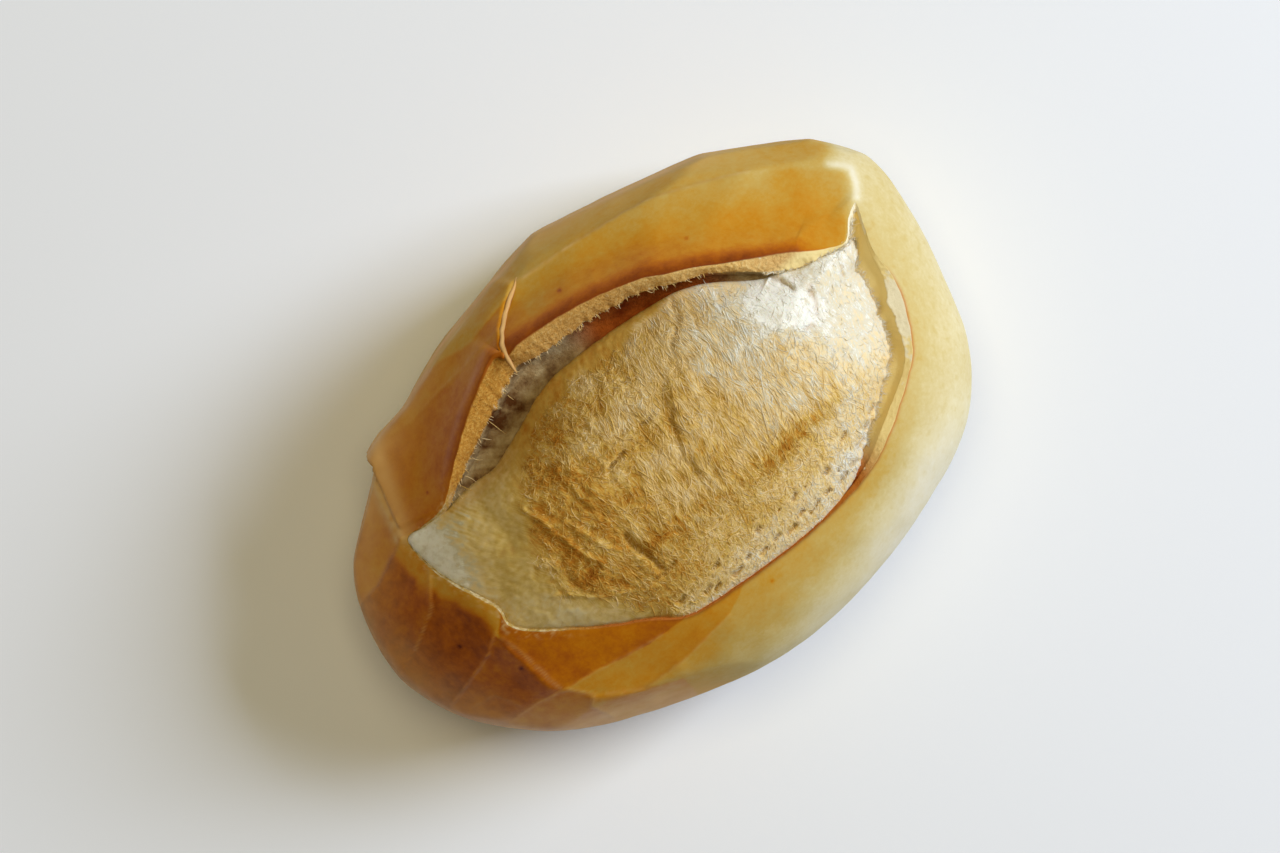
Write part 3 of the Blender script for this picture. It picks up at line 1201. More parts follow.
def torn_toast(x, y, patches, white, low):
    """How toasted the torn crumb is: golden at the left, floury at the right, porous below."""
    swells = noise((across_fibres(x, y), y), (2.6, 4.6), 57)
    toast = 0.50 + 0.13 * smoothstep(-x, 2, 18) - 0.19 * smoothstep(x, 4, 22) + 0.12 * patches
    toast += 0.06 * smoothstep(y, 4, 12) * smoothstep(-x, -14, -2) - 0.08 * swells
    toast -= 0.06 * spot(x, y, (1, 7), (5, 4)) + 0.10 * spot(x, y, (18, 6), 6)
    toast += 0.07 * spot(x, y, (-15, 4), 5)
    toast += mix(0.04, -0.03, smoothstep(y, 3, 9)) * (1 - smoothstep(x, 5, 20))
    toast = mix(toast, 0.11 + 0.05 * patches - 0.10 * spot(x, y, (29, 3), 7.0), white)
    toast = mix(toast, 0.12, 0.8 * smoothstep(x, 31, 35) * white)
    toast -= 0.17 * stroke(x, y, FLOURY_PATH, 2.6) + 0.06 * stroke(x, y, FLOURY_EDGE, 2.5)
    lower = 0.53 + 0.12 * smoothstep(-x, 0, 14) - 0.24 * smoothstep(x, 10, 26)
    lower -= 0.20 * smoothstep(-y, 19, 22)
    return mix(toast, lower + 0.06 * patches, low * 0.85)


def skin_toast(x, y, patches, left):
    """How toasted the crumb's smooth skin is."""
    mottles = noise((x, y), 1.1, 49) + 0.7 * noise((x, y), 0.5, 59)
    toast = mix(0.59, 0.34, left) + 0.10 * patches - mix(0.07, 0.15, left) * mottles
    toast += 0.10 * spot(x, y, (-31, -1), 4) - 0.10 * spot(x, y, (-30, 9), (4, 3))
    fan = noise((0.85 * x + 0.5 * y, 0.85 * y - 0.5 * x), (0.5, 4), 68)
    toast -= spot(x, y, (-31, 12.5), 3.5) * (0.10 + 0.45 * fan)
    toast -= 0.40 * smoothstep(-x, 31, 38) * smoothstep(y, -2, 8)
    toast += 0.16 * spot(x, y, (-29, 5), (5, 6)) + 0.22 * spot(x, y, (-29.5, 11.5), 3.0)
    return np.maximum(toast, 0.02)


def ridge_toast(x, y, patches):
    """How much darker the ridge along the crumb's lower side and its left corner are."""
    ragged = 0.5 * patches + 0.5 * noise((x, y), 1.0, 62)
    ridge = stroke(x, y + ragged, TOASTED_RIDGE, mix(1.9, 1.2, smoothstep(-x, 0, 10)))
    strength = 0.08 + 0.42 * bell(x - 17, 6) + 0.17 * smoothstep(-x, 2, 8)
    corner = 0.18 * stroke(x, y + 0.6 * ragged, TOASTED_CORNER, 1.1)
    return ridge * strength * (0.8 + 0.6 * noise((x, y), 1.6, 63)) + corner


def crumb_looks(x, y, height, strands, pits, zones):
    """What the crumb's material reads at each place."""
    skin, white, low = zones
    patches = noise((x, y), 5, 60) + 0.6 * noise((x, y), 2.2, 61)
    left = smoothstep(-x, 14, 28)
    toast = torn_toast(x, y, patches, white, low)
    toast = mix(toast, skin_toast(x, y, patches, left), skin) + ridge_toast(x, y, patches)
    toast -= 0.14 * strands * (1 - skin) * (1 - 0.7 * white)
    hollow = np.clip(-height * 2.2, 0, 1) * (1 - skin) * (1 - 0.8 * white) + 0.9 * pits * low
    wander_x, wander_y = crumb_wander(x, y)
    for path, width, depth in CRUMB_STROKES:
        if depth < 0 and width < 2:
            hollow += 0.7 * stroke(x + wander_x, y + wander_y, path, width)
    hollow += 0.9 * crumb_pores(x + 0.7 * wander_x, y + 0.7 * wander_y)
    return {
        "toast": np.clip(toast, 0, 1),
        "hollow": np.clip(hollow, 0, 1),
        "skin": skin,
        "olive": skin * left * (1 - 0.8 * smoothstep(-x, 32, 38)),
        "white": white,
        "across": across_fibres(x, y),
        "along": y,
    }


# Looks of the crumb's hidden sides and underside.
HIDDEN_CRUMB = {"toast": 0.45, "hollow": 0.6, "skin": 0.6}


def beside_sum(cells):
    """The sum of the four cells beside each cell of a raster."""
    return sum(np.roll(cells, step, axis=(0, 1)) for step in ((0, 1), (0, -1), (1, 0), (-1, 0)))


class HeightMap:
    """Heights and looks of a surface over a square raster in plan, filled from its points.

    Beyond the surface's edge the height goes down by fall for each cell."""

    def __init__(self, positions, looks, fall, cell=RASTER_CELL):
        self.cell = cell
        self.low = positions[:, :2].min(axis=0) - cell
        columns, rows = ((positions[:, :2].max(axis=0) - self.low) / cell).astype(int) + 3
        values = np.column_stack([positions[:, 2], *looks])
        index = ((positions[:, :2] - self.low) / cell).round().astype(int)
        total = np.zeros((columns, rows, values.shape[1]))
        count = np.zeros((columns, rows, 1))
        np.add.at(total, (index[:, 0], index[:, 1]), values)
        np.add.at(count, (index[:, 0], index[:, 1]), 1.0)
        while (count == 0).any():
            empty = count[..., 0] == 0
            near_total, near_count = beside_sum(total), beside_sum(count)
            near_total[..., 0] -= fall * near_count[..., 0]
            total[empty] = near_total[empty]
            count[empty] = near_count[empty]
        self.values = total / np.maximum(count, 1)

    def at(self, x, y):
        """Height and looks at places in plan, one column each."""
        columns, rows = self.values.shape[:2]
        u = np.clip((x - self.low[0]) / self.cell, 0, columns - 1)
        v = np.clip((y - self.low[1]) / self.cell, 0, rows - 1)
        i = np.minimum(np.floor(u).astype(int), columns - 2)
        j = np.minimum(np.floor(v).astype(int), rows - 2)
        u, v = (u - i)[..., None], (v - j)[..., None]
        near = mix(self.values[i, j], self.values[i + 1, j], u)
        far = mix(self.values[i, j + 1], self.values[i + 1, j + 1], u)
        return np.moveaxis(mix(near, far, v), -1, 0)


def thread_mesh(name, centres, thick, looks, shift, material):
    """Tapering three-sided threads; centres has a row for each step and a column for each thread."""
    steps, count = len(centres) - 1, centres.shape[1]
    ahead = np.gradient(centres, axis=0)
    sideways = np.stack([-ahead[..., 1], ahead[..., 0], np.zeros(ahead.shape[:2])], axis=-1)
    sideways /= np.maximum(np.linalg.norm(sideways, axis=-1), 1e-6)[..., None]
    rings = []
    for step in range(steps + 1):
        share = min(0.15 + 0.85 * step / steps, 1.0)
        taper = thick[:, None] * mix(0.3, 1.0, math.sin(math.pi * share))
        for across, lift in ((-1.0, -0.6), (1.0, -0.6), (0.0, 0.6)):
            rings.append(centres[step] + (sideways[step] * across + np.array([0, 0, lift])) * taper)
    positions = np.concatenate(rings)
    positions[:, :2] += shift
    thread = np.arange(count)
    faces = []
    for step in range(steps):
        for corner in range(3):
            a, b = 3 * step + corner, 3 * step + (corner + 1) % 3
            faces += np.stack([thread + k * count for k in (a, b, b + 3, a + 3)], axis=1).tolist()
    for step, order in ((0, (2, 1, 0)), (steps, (0, 1, 2))):
        faces += np.stack([thread + (3 * step + k) * count for k in order], axis=1).tolist()
    return make_mesh(name, positions, faces, looks, material)


def thread_looks(toast):
    """Looks of threads, from how toasted each is at each step."""
    toast = np.clip(np.repeat(toast, 3, axis=0).ravel(), 0, 1)
    flat = np.zeros(len(toast))
    looks = {key: flat for key in ("hollow", "skin", "olive", "across", "along")}
    return {"toast": toast, "white": flat + 0.8, **looks}


def strand_piece(name, surface, places, shift, material, seed):
    """Short loose fibres that lie over the torn crumb."""
    rng = np.random.default_rng(SEED + seed)
    x, y = places[rng.permutation(len(places))].T
    _, white, low = crumb_zones(x, y)
    kept = np.flatnonzero(rng.random(len(x)) > 0.85 * white)[:STRANDS]
    x, y, white, low = x[kept], y[kept], white[kept], low[kept]
    x = x + rng.uniform(-0.15, 0.15, len(x))
    y = y + rng.uniform(-0.15, 0.15, len(y))
    loose = np.clip(white + 0.7 * low, 0, 1)
    loose = np.maximum(loose, 0.9 * curly_share(x, y))
    sway = 0.35 * noise((x, y), 6, 70) + 0.25 * noise((x, y), 2, 71)
    heading = -math.pi / 2 + fibre_lean(x) + sway + rng.normal(size=len(x)) * mix(0.22, 1.1, loose)
    curl = rng.normal(size=len(x)) * mix(0.25, 1.0, loose)
    length = np.exp(rng.normal(size=len(x)) * 0.5) * mix(2.2, 0.9, loose)
    arch = 0.03 + 0.16 * rng.random(len(x)) ** 4
    thick = np.exp(rng.normal(size=len(x)) * 0.35) * STRAND_THICKNESS
    tint = rng.uniform(-0.26, 0.07, len(x)) * (1 - 0.6 * white)
    centres, toasts = [], []
    for step in range(STRAND_STEPS + 1):
        share = step / STRAND_STEPS
        z, toast = surface.at(x, y)
        centres.append(np.stack([x, y, z + arch * math.sin(math.pi * share) - 0.1 * thick], axis=-1))
        toasts.append(toast + tint)
        x = x + np.cos(heading) * length / STRAND_STEPS
        y = y + np.sin(heading) * length / STRAND_STEPS
        heading = heading + curl * length / STRAND_STEPS
    return thread_mesh(name, np.stack(centres), thick, thread_looks(np.stack(toasts)), shift, material)


def torn_thread_piece(samples, shift, material):
    """Fine pale threads that hang from the torn edge of the flap into the crevice."""
    rng = np.random.default_rng(SEED + 9)
    first, last = (int(np.searchsorted(samples["place"], k / len(STATIONS))) for k in THREAD_STATIONS)
    pick = rng.integers(first, last, TORN_THREADS)
    inward = samples["inward"][pick]
    start = samples["shelf"][pick] + np.array([0, 0, 0.1])
    start[:, :2] += inward * (samples["jag"][pick] - 0.15)[:, None]
    length = np.exp(rng.normal(size=TORN_THREADS) * 0.7) * TORN_THREAD_LENGTH
    length = np.minimum(length, LONGEST_TORN_THREAD)
    turn = rng.normal(size=TORN_THREADS) * 0.7
    ahead_x = inward[:, 0] * np.cos(turn) - inward[:, 1] * np.sin(turn)
    ahead_y = inward[:, 0] * np.sin(turn) + inward[:, 1] * np.cos(turn)
    slope = rng.uniform(-0.8, 0.3, TORN_THREADS)
    thick = rng.uniform(0.03, 0.07, TORN_THREADS)
    for (x0, y0), (x1, y1), fall in LONG_THREADS:
        near = np.argmin(np.hypot(*(samples["shelf"][:, :2] - [x0, y0]).T))
        span = math.hypot(x1 - x0, y1 - y0)
        start = np.vstack([start, [x0, y0, samples["shelf"][near, 2] + 0.1]])
        ahead_x = np.append(ahead_x, (x1 - x0) / span)
        ahead_y = np.append(ahead_y, (y1 - y0) / span)
        length = np.append(length, span)
        slope = np.append(slope, -fall / span)
        thick = np.append(thick, LONG_THREAD_THICKNESS)
    centres = bowed_threads(start, ahead_x, ahead_y, length, slope, rng)
    toast = np.broadcast_to(rng.uniform(0.15, 0.5, len(length)), centres.shape[:2])
    return thread_mesh("torn_threads", centres, thick, thread_looks(toast), shift, material)


def bowed_threads(start, ahead_x, ahead_y, length, slope, rng):
    """Centres of threads that leave their starts in given directions and bow a little."""
    curve = rng.normal(size=len(length)) * 0.25 * length
    centres = []
    for step in range(STRAND_STEPS + 1):
        share = step / STRAND_STEPS
        bow = curve * share * (1 - share)
        x = start[:, 0] + ahead_x * length * share - ahead_y * bow
        y = start[:, 1] + ahead_y * length * share + ahead_x * bow
        centres.append(np.stack([x, y, start[:, 2] + slope * length * share], axis=-1))
    return np.stack(centres)


def fringe_piece(samples, shift, material):
    """Fluff along the crumb's edge over the groove, and on the torn end of the flap."""
    rng = np.random.default_rng(SEED + 20)
    starts, turns = [], []
    for (first, last), key, count, inset in FRINGES:
        begin, end = (int(np.searchsorted(samples["place"], k / len(STATIONS))) for k in (first, last))
        pick = rng.integers(begin, end, count)
        inward = samples["inward"][pick]
        start = samples[key][pick].copy()
        start[:, :2] += inward * rng.uniform(inset[0], inset[1], count)[:, None]
        start[:, 2] += inset[2]
        starts.append(start)
        turns.append(np.arctan2(-inward[:, 1], -inward[:, 0]) + rng.normal(size=count) * 0.9)
    start, turn = np.concatenate(starts), np.concatenate(turns)
    count = len(start)
    length = np.exp(rng.normal(size=count) * 0.4) * FRINGE_LENGTH
    slope = rng.uniform(-0.6, 0.35, count)
    thick = rng.uniform(0.03, 0.06, count)
    centres = bowed_threads(start, np.cos(turn), np.sin(turn), length, slope, rng)
    toast = np.broadcast_to(rng.uniform(0.0, 0.3, count), centres.shape[:2])
    return thread_mesh("crumb_fringe", centres, thick, thread_looks(toast), shift, material)


def crumb_points(samples, share, turn):
    """Points of the crumb: share from its centre to its rim, turn round the rim, both 0 to 1.

    Fine detail of the rim stays near it."""
    edge = samples["crumb"]
    swell = crumb_swell(edge[:, 0], edge[:, 1])
    evened_plan = [evened(edge[:, axis], 7) for axis in (0, 1)]
    broad = np.column_stack([*evened_plan, evened(edge[:, 2] - swell, 22)])
    scaled = turn * len(edge)
    index = np.floor(scaled).astype(int) % len(edge)
    rim, broad_rim = (
        mix(values[index], values[(index + 1) % len(edge)], (scaled - np.floor(scaled))[:, None])
        for values in (edge, broad)
    )
    near = share**RIM_POWER
    plan = mix(np.array(CRUMB_CENTRE), broad_rim[:, :2], share[:, None])
    x, y = (plan + (rim - broad_rim)[:, :2] * near[:, None]).T
    broad_lift = broad_rim[:, 2]
    rim_lift = rim[:, 2] - crumb_swell(rim[:, 0], rim[:, 1])
    z = crumb_swell(x, y) + broad_lift * share**EDGE_POWER + (rim_lift - broad_lift) * near
    to_edge = (1 - share) * np.linalg.norm(rim[:, :2] - np.array(CRUMB_CENTRE), axis=1)
    return x, y, z, to_edge


def crumb_faces(starts):
    """Faces between square levels, each with eight more points than the last."""
    faces = []
    for level in range(1, CRUMB_LEVELS + 1):
        outer_start, inner_start = starts[level], starts[level - 1]
        outer_size, inner_size = 8 * level, max(8 * (level - 1), 1)
        for side in range(8):
            for step in range(level):
                outer = outer_start + side * level + step
                outer_next = outer_start + (side * level + step + 1) % outer_size
                inner = inner_start + (side * (level - 1) + step) % inner_size
                if step < level - 1:
                    inner_next = inner_start + (side * (level - 1) + step + 1) % inner_size
                    faces.append((outer, outer_next, inner_next, inner))
                else:
                    faces.append((outer, outer_next, inner))
    return faces


def add_underside(positions, faces, last):
    """Close the crumb below its rim, which is the points from last on."""
    rim_points = positions[last:]
    size = len(rim_points)
    rings = []
    for drop, inset in HIDDEN_RINGS:
        ring = rim_points.copy()
        ring[:, :2] = mix(ring[:, :2], np.array(CRUMB_CENTRE), inset)
        ring[:, 2] -= drop
        rings.append(ring)
    begins = [last + k * size for k in range(len(rings) + 1)]
    for upper, lower in zip(begins[:-1], begins[1:]):
        faces += band_faces(lower, upper, size)
    bottom = len(positions) + len(rings) * size
    for step in range(size):
        faces.append((bottom, begins[-1] + (step + 1) % size, begins[-1] + step))
    return np.concatenate([positions, *rings, [[*CRUMB_CENTRE, float(rings[-1][:, 2].min())]]])


def crumb_piece(samples, shift, material):
    """The crumb, on square levels that keep its points evenly spaced, with a closed underside."""
    starts = [0]
    shares, turns = [np.array([0.0])], [np.array([0.0])]
    for level in range(1, CRUMB_LEVELS + 1):
        starts.append(starts[-1] + len(shares[-1]))
        size = 8 * level
        shares.append(np.full(size, level / CRUMB_LEVELS))
        turns.append(np.arange(size) / size)
    share = np.concatenate(shares)
    x, y, z, to_edge = crumb_points(samples, share, np.concatenate(turns))
    zones = skin, white, low = crumb_zones(x, y)
    height, strands, pits = fibre_height(x, y, skin, white, low)
    round_over = EDGE_ROUNDING * (1 - np.sqrt(1 - np.clip(1 - to_edge / EDGE_ROUNDING, 0, 1) ** 2))
    looks = crumb_looks(x, y, height, strands, pits, zones)
    lower_band = bell(to_edge - 0.6, 0.6) * smoothstep(-y, 12, 18) * window(x, (-16, -10), (20, 26))
    looks["toast"] = mix(looks["toast"], 0.22, 0.7 * lower_band)
    looks["hollow"] = looks["hollow"] * (1 - lower_band)
    positions = np.column_stack([x, y, z + height - 0.8 * round_over])
    surface = HeightMap(positions, [looks["toast"]], fall=0.35)
    torn_places = positions[(skin < 0.35) & (share < 0.985), :2]

    faces = crumb_faces(starts)
    positions = add_underside(positions, faces, starts[-1])
    added = len(positions) - len(x)
    for key, values in looks.items():
        looks[key] = np.concatenate([values, np.full(added, HIDDEN_CRUMB.get(key, 0.0))])
    positions[:, :2] += shift
    return make_mesh("roll_crumb", positions, faces, looks, material), surface, torn_places


# ---- Materials ----


def linear(red, green, blue):
    """A colour given as 0 to 255 screen values, as the shader's own values."""
    channels = [value / 255 for value in (red, green, blue)]
    return tuple(c / 12.92 if c <= 0.04045 else ((c + 0.055) / 1.055) ** 2.4 for c in channels) + (1.0,)


class Nodes:
    """Short ways to add and join shader nodes."""

    def __init__(self, name):
        self.material = bpy.data.materials.new(name)
        self.material.use_nodes = True
        self.tree = self.material.node_tree
        self.shader = self.tree.nodes["Principled BSDF"]

    def add(self, kind, **inputs):
        node = self.tree.nodes.new(kind)
        for key, value in inputs.items():
            self.put(node, key.replace("_", " "), value)
        return node

    def put(self, node, key, value):
        socket = node.inputs[int(key[1:])] if key[0] == "i" and key[1:].isdigit() else node.inputs[key]
        if isinstance(value, bpy.types.NodeSocket):
            self.tree.links.new(value, socket)
        else:
            socket.default_value = value

    def attribute(self, name):
        node = self.tree.nodes.new("ShaderNodeAttribute")
        node.attribute_name = name
        return node.outputs["Fac"]

    def attributes(self, *names):
        return [self.attribute(name) for name in names]

    def math(self, operation, a, b=0.0, clamp=False):
        node = self.tree.nodes.new("ShaderNodeMath")
        node.operation = operation
        node.use_clamp = clamp
        self.put(node, "i0", a)
        self.put(node, "i1", b)
        return node.outputs[0]

    def mix(self, share, a, b, blend="MIX"):
        node = self.tree.nodes.new("ShaderNodeMix")
        node.data_type = "RGBA"
        node.blend_type = blend
        self.put(node, "i0", share)
        self.put(node, "i6", a)
        self.put(node, "i7", b)
        return node.outputs[2]

    def layers(self, colour, *layers):
        """A colour with others over it; each is how much of it there is, and the colour."""
        for share, layer in layers:
            colour = self.mix(share, colour, layer)
        return colour

    def noise(self, size, detail=4.0, roughness=0.55):
        """Noise whose features are about this many millimetres across."""
        place = self.add("ShaderNodeMapping")
        place.inputs["Scale"].default_value = [1 / (size * MM)] * 3
        self.put(place, "Vector", self.coordinates())
        node = self.add("ShaderNodeTexNoise", Scale=1.0, Detail=detail, Roughness=roughness)
        self.put(node, "Vector", place.outputs["Vector"])
        return node.outputs["Fac"]

    def grain(self, size, stretch, detail=4.0, roughness=0.55):
        """Noise drawn out along the fibres, whose strands are about this many millimetres wide."""
        place = self.add("ShaderNodeCombineXYZ")
        self.put(place, "X", self.math("DIVIDE", self.attribute("across"), size))
        self.put(place, "Y", self.math("DIVIDE", self.attribute("along"), size * stretch))
        node = self.add("ShaderNodeTexNoise", Scale=1.0, Detail=detail, Roughness=roughness)
        self.put(node, "Vector", place.outputs["Vector"])
        return node.outputs["Fac"]

    def coordinates(self):
        if not hasattr(self, "place"):
            self.place = self.tree.nodes.new("ShaderNodeTexCoord")
        return self.place.outputs["Object"]

    def ramp(self, value, stops):
        node = self.tree.nodes.new("ShaderNodeValToRGB")
        band = node.color_ramp
        while len(band.elements) < len(stops):
            band.elements.new(0.5)
        for element, (position, colour) in zip(band.elements, stops):
            element.position = position
            element.color = colour
        self.put(node, "Fac", value)
        return node.outputs["Color"]

    def remap(self, value, low, high, to_low=0.0, to_high=1.0):
        node = self.tree.nodes.new("ShaderNodeMapRange")
        ranges = {"From Min": low, "From Max": high, "To Min": to_low, "To Max": to_high}
        for key, item in {"Value": value, **ranges}.items():
            self.put(node, key, item)
        return node.outputs["Result"]

    def sway(self, noise, amount):
        """Noise as a number that sways this far to both sides of zero."""
        return self.remap(noise, 0.3, 0.7, -amount, amount)

    def bump(self, height, strength, distance, normal=None):
        node = self.add("ShaderNodeBump", Strength=strength, Distance=distance * MM, Height=height)
        if normal is not None:
            self.put(node, "Normal", normal)
        return node.outputs["Normal"]


CRUST_COLOURS = [
    (0.00, linear(232, 222, 196)),
    (0.12, linear(222, 207, 164)),
    (0.24, linear(208, 186, 126)),
    (0.36, linear(200, 166, 88)),
    (0.48, linear(200, 150, 54)),
    (0.58, linear(200, 134, 26)),
    (0.68, linear(190, 112, 10)),
    (0.78, linear(169, 89, 13)),
    (0.89, linear(136, 65, 11)),
    (1.00, linear(94, 36, 6)),
]
CRUMB_COLOURS = [
    (0.00, linear(244, 241, 232)),
    (0.10, linear(218, 209, 188)),
    (0.20, linear(236, 215, 172)),
    (0.38, linear(232, 200, 136)),
    (0.55, linear(211, 173, 86)),
    (0.75, linear(192, 131, 44)),
    (1.00, linear(146, 76, 18)),
]
TORN_COLOURS = [(0.30, linear(170, 110, 40)), (0.5, linear(194, 138, 56)), (0.74, linear(220, 176, 94))]
LIGHT_TORN_COLOURS = [
    (0.30, linear(214, 160, 84)),
    (0.5, linear(234, 190, 116)),
    (0.74, linear(244, 216, 156)),
]
WEB_COLOURS = [(0.05, linear(92, 54, 22)), (0.35, linear(154, 126, 86)), (0.75, linear(202, 182, 142))]
EMBER_COLOURS = [(0.2, linear(134, 56, 10)), (0.6, linear(184, 96, 32))]
SMOOTH_GOLD = linear(238, 214, 148)
DUST_COLOUR = linear(236, 188, 122)
SEAM_COLOUR = linear(222, 184, 122)
LIP_LINE_COLOUR = linear(128, 58, 22)
GROOVE_LINE_COLOUR = linear(190, 92, 36)
LOWER_TORN_COLOUR = linear(188, 112, 44)
CRUST_LIP_COLOUR = linear(196, 164, 92)
CREAM_COLOUR = linear(240, 228, 196)
OLIVE_COLOUR = linear(204, 188, 124)
HOLLOW_COLOUR = linear(168, 118, 44)

# How light spreads inside the crumb: share, reach for each colour, and depth in millimetres. Its
# loose threads have none.
CRUMB_SUBSURFACE = 0.2
THREAD_SUBSURFACE = 0.0
SUBSURFACE_REACH = (1.0, 0.75, 0.45)
SUBSURFACE_DEPTH = 0.8


def crust_material():
    n = Nodes("crust")
    bake, torn, crevice, groove = n.attributes("bake", "torn", "crevice", "groove")

    fine = n.noise(1.6, 6.0, 0.65)
    clouds = n.math("ADD", n.sway(n.noise(9, 3.0), 0.045), n.sway(fine, 0.045))
    clouds = n.math("MULTIPLY", clouds, n.remap(bake, 0.15, 0.5, 0.4, 1.0))
    varied = n.math("ADD", n.math("ADD", bake, clouds), n.sway(n.noise(0.6, 3.0, 0.6), 0.02))
    edge_colour = n.mix(groove, LIP_LINE_COLOUR, GROOVE_LINE_COLOUR)
    baked = n.layers(
        n.ramp(varied, CRUST_COLOURS),
        (n.attribute("dusty"), DUST_COLOUR),
        (n.attribute("pale"), SEAM_COLOUR),
        (n.math("MULTIPLY", n.attribute("edge"), 0.6), edge_colour),
    )

    crumbs = n.noise(0.5, 5.0, 0.7)
    torn_colour = n.layers(
        n.ramp(crumbs, TORN_COLOURS),
        (n.attribute("light"), n.ramp(crumbs, LIGHT_TORN_COLOURS)),
        (n.attribute("lower"), LOWER_TORN_COLOUR),
        (groove, SMOOTH_GOLD),
        (n.attribute("crust_lip"), CRUST_LIP_COLOUR),
        (n.attribute("cream"), CREAM_COLOUR),
    )
    web = n.math("ADD", n.attribute("web"), n.sway(n.noise(3.0, 5.0, 0.6), 0.3), clamp=True)
    crevice_colour = n.layers(
        n.ramp(web, WEB_COLOURS),
        (n.attribute("ember"), n.ramp(web, EMBER_COLOURS)),
        (groove, SMOOTH_GOLD),
    )
    colour = n.layers(baked, (torn, torn_colour), (crevice, crevice_colour))
    n.put(n.shader, "Base Color", colour)

    soft = n.math("MULTIPLY", n.math("MAXIMUM", torn, crevice), n.remap(groove, 0, 1, 1, 0.3))
    satin = n.math("ADD", n.remap(bake, 0.3, 0.65, 0.68, 0.42), n.sway(fine, 0.06))
    n.put(n.shader, "Roughness", n.remap(soft, 0, 1, satin, 0.9))
    n.put(n.shader, "Specular IOR Level", n.math("ADD", n.attribute("gloss"), 0.04))

    skin = n.bump(n.noise(2.6, 4.0, 0.5), 0.4, 0.14)
    grain = n.bump(n.noise(0.45, 3.0, 0.6), 0.25, 0.05, skin)
    n.put(n.shader, "Normal", n.bump(n.math("MULTIPLY", crumbs, soft), 0.9, 0.4, grain))
    return n.material


def crumb_material(name, subsurface):
    n = Nodes(name)
    toast, hollow, skin, white, olive = n.attributes("toast", "hollow", "skin", "white", "olive")

    strands = n.grain(0.24, 8.0, 5.0, 0.68)
    grains = n.noise(0.35, 4.0, 0.7)
    mottle = n.noise(1.8, 6.0, 0.7)
    torn = n.math("SUBTRACT", 1.0, n.math("MAXIMUM", skin, n.math("MULTIPLY", white, 0.6)))
    streaks = n.math("MULTIPLY", n.remap(strands, 0.36, 0.64, 0.16, -0.16), torn)
    speckle = n.math("MULTIPLY", n.sway(grains, 0.05), n.math("SUBTRACT", 1.0, skin))
    varied = n.math("ADD", n.math("ADD", toast, streaks), speckle)
    varied = n.math("ADD", varied, n.sway(mottle, 0.08))
    colour = n.layers(
        n.ramp(varied, CRUMB_COLOURS),
        (n.math("MULTIPLY", olive, 0.35), OLIVE_COLOUR),
        (n.math("MULTIPLY", hollow, 0.5), HOLLOW_COLOUR),
    )
    n.put(n.shader, "Base Color", colour)
    n.put(n.shader, "Roughness", n.remap(skin, 0, 1, 0.9, 0.7))
    n.put(n.shader, "Specular IOR Level", n.remap(skin, 0, 1, 0.03, 0.15))
    n.shader.inputs["Subsurface Weight"].default_value = subsurface
    n.shader.inputs["Subsurface Radius"].default_value = SUBSURFACE_REACH
    n.shader.inputs["Subsurface Scale"].default_value = SUBSURFACE_DEPTH * MM

    relief = n.bump(n.math("MULTIPLY", strands, torn), 0.8, 0.25)
    relief = n.bump(n.math("MULTIPLY", mottle, skin), 0.4, 0.2, relief)
    n.put(n.shader, "Normal", n.bump(grains, 0.35, 0.12, relief))
    return n.material


# ---- Camera, floor and light ----

PHOTO_WIDTH = 1280
PIXELS_PER_MM = 6.0  # at the widest outline
CAMERA_HEIGHT = 550.0
CAMERA_PLAN = (0.0, 4.2)
CAMERA_TURN = 42.0  # degrees from the image's right to the roll's +X
SENSOR_WIDTH = 36.0
FLOOR_REACH = 3.0  # in metres
FLOOR_COLOUR = (0.885, 0.905, 0.995, 1)
WORLD_COLOUR = (1.0, 0.93, 0.92, 1)
WORLD_STRENGTH = 0.05

# Square area lights: direction from the roll, distance and size in metres, power, colour.
LIGHTS = {
    "window": ((0.951, -0.309, 0.70), 1.35, 0.60, 18.7, (0.80, 0.89, 1.0)),
    "ceiling": ((0.06, 0.14, 0.99), 1.1, 0.55, 4.5, (1.0, 0.86, 0.48)),
}


def make_camera(shift):
    data = bpy.data.cameras.new("camera")
    camera = bpy.data.objects.new("camera", data)
    bpy.context.scene.collection.objects.link(camera)
    place = (CAMERA_PLAN[0] + shift[0], CAMERA_PLAN[1] + shift[1], CAMERA_HEIGHT)
    camera.location = [v * MM for v in place]
    camera.rotation_euler = (0, 0, -math.radians(CAMERA_TURN))
    data.sensor_width = SENSOR_WIDTH
    data.lens = SENSOR_WIDTH * (CAMERA_HEIGHT - WIDEST_Z) / (PHOTO_WIDTH / PIXELS_PER_MM)
    bpy.context.scene.camera = camera


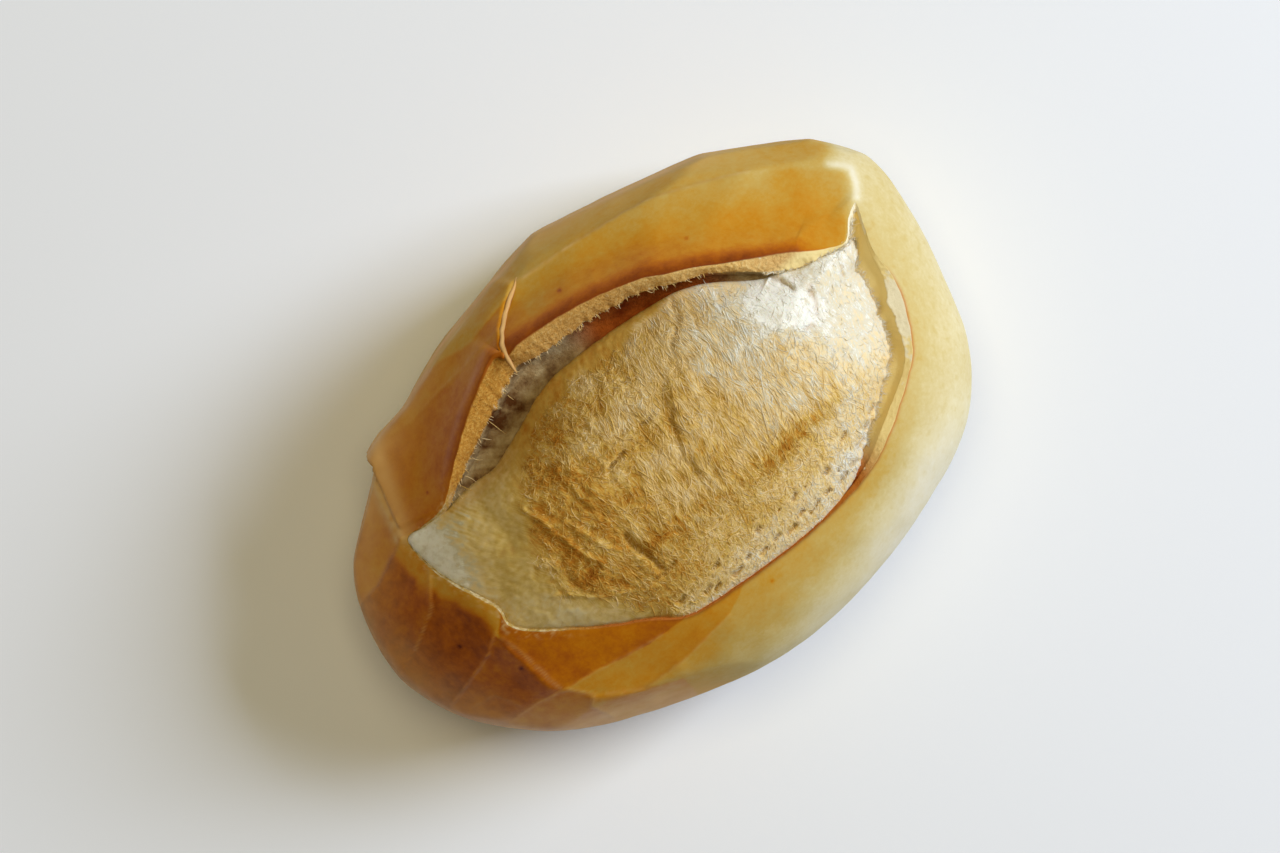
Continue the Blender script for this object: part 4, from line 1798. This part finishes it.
def make_floor():
    mesh = bpy.data.meshes.new("floor")
    corners = [(FLOOR_REACH * x, FLOOR_REACH * y, 0) for x, y in ((-1, -1), (1, -1), (1, 1), (-1, 1))]
    mesh.from_pydata(corners, [], [(0, 1, 2, 3)])
    floor = bpy.data.objects.new("floor", mesh)
    bpy.context.scene.collection.objects.link(floor)
    n = Nodes("floor")
    n.put(n.shader, "Base Color", FLOOR_COLOUR)
    n.shader.inputs["Roughness"].default_value = 0.9
    mesh.materials.append(n.material)


def make_lights():
    for name, (direction, distance, size, power, colour) in LIGHTS.items():
        data = bpy.data.lights.new(name, "AREA")
        data.shape = "RECTANGLE"
        data.size = data.size_y = size
        data.energy = power
        data.color = colour
        light = bpy.data.objects.new(name, data)
        bpy.context.scene.collection.objects.link(light)
        aim = Vector(direction).normalized()
        light.location = aim * distance
        light.rotation_euler = aim.to_track_quat("Z", "Y").to_euler()
    world = bpy.data.worlds.new("world")
    world.use_nodes = True
    world.node_tree.nodes["Background"].inputs["Color"].default_value = WORLD_COLOUR
    world.node_tree.nodes["Background"].inputs["Strength"].default_value = WORLD_STRENGTH
    scene = bpy.context.scene
    scene.world = world
    scene.view_settings.view_transform = "Standard"
    scene.view_settings.look = "None"


# ---- The scene ----

samples = split_samples()
plan_shift = bounding_shift([points for _, points, _ in crust_ring_sets(samples)])
make_camera(plan_shift)
make_floor()
make_lights()
crust_look = crust_material()
crust, crust_surface = crust_piece(samples, plan_shift, crust_look)
ribbon_piece(crust_surface, plan_shift, crust_look)
crumb_look = crumb_material("crumb", CRUMB_SUBSURFACE)
thread_look = crumb_material("crumb_threads", THREAD_SUBSURFACE)
crumb, crumb_surface, torn_places = crumb_piece(samples, plan_shift, crumb_look)
for strand_name, strand_seed in (("crumb_strands", 0), ("crumb_fluff", 1)):
    strands = strand_piece(strand_name, crumb_surface, torn_places, plan_shift, thread_look, strand_seed)
torn_thread_piece(samples, plan_shift, thread_look)
fringe_piece(samples, plan_shift, thread_look)
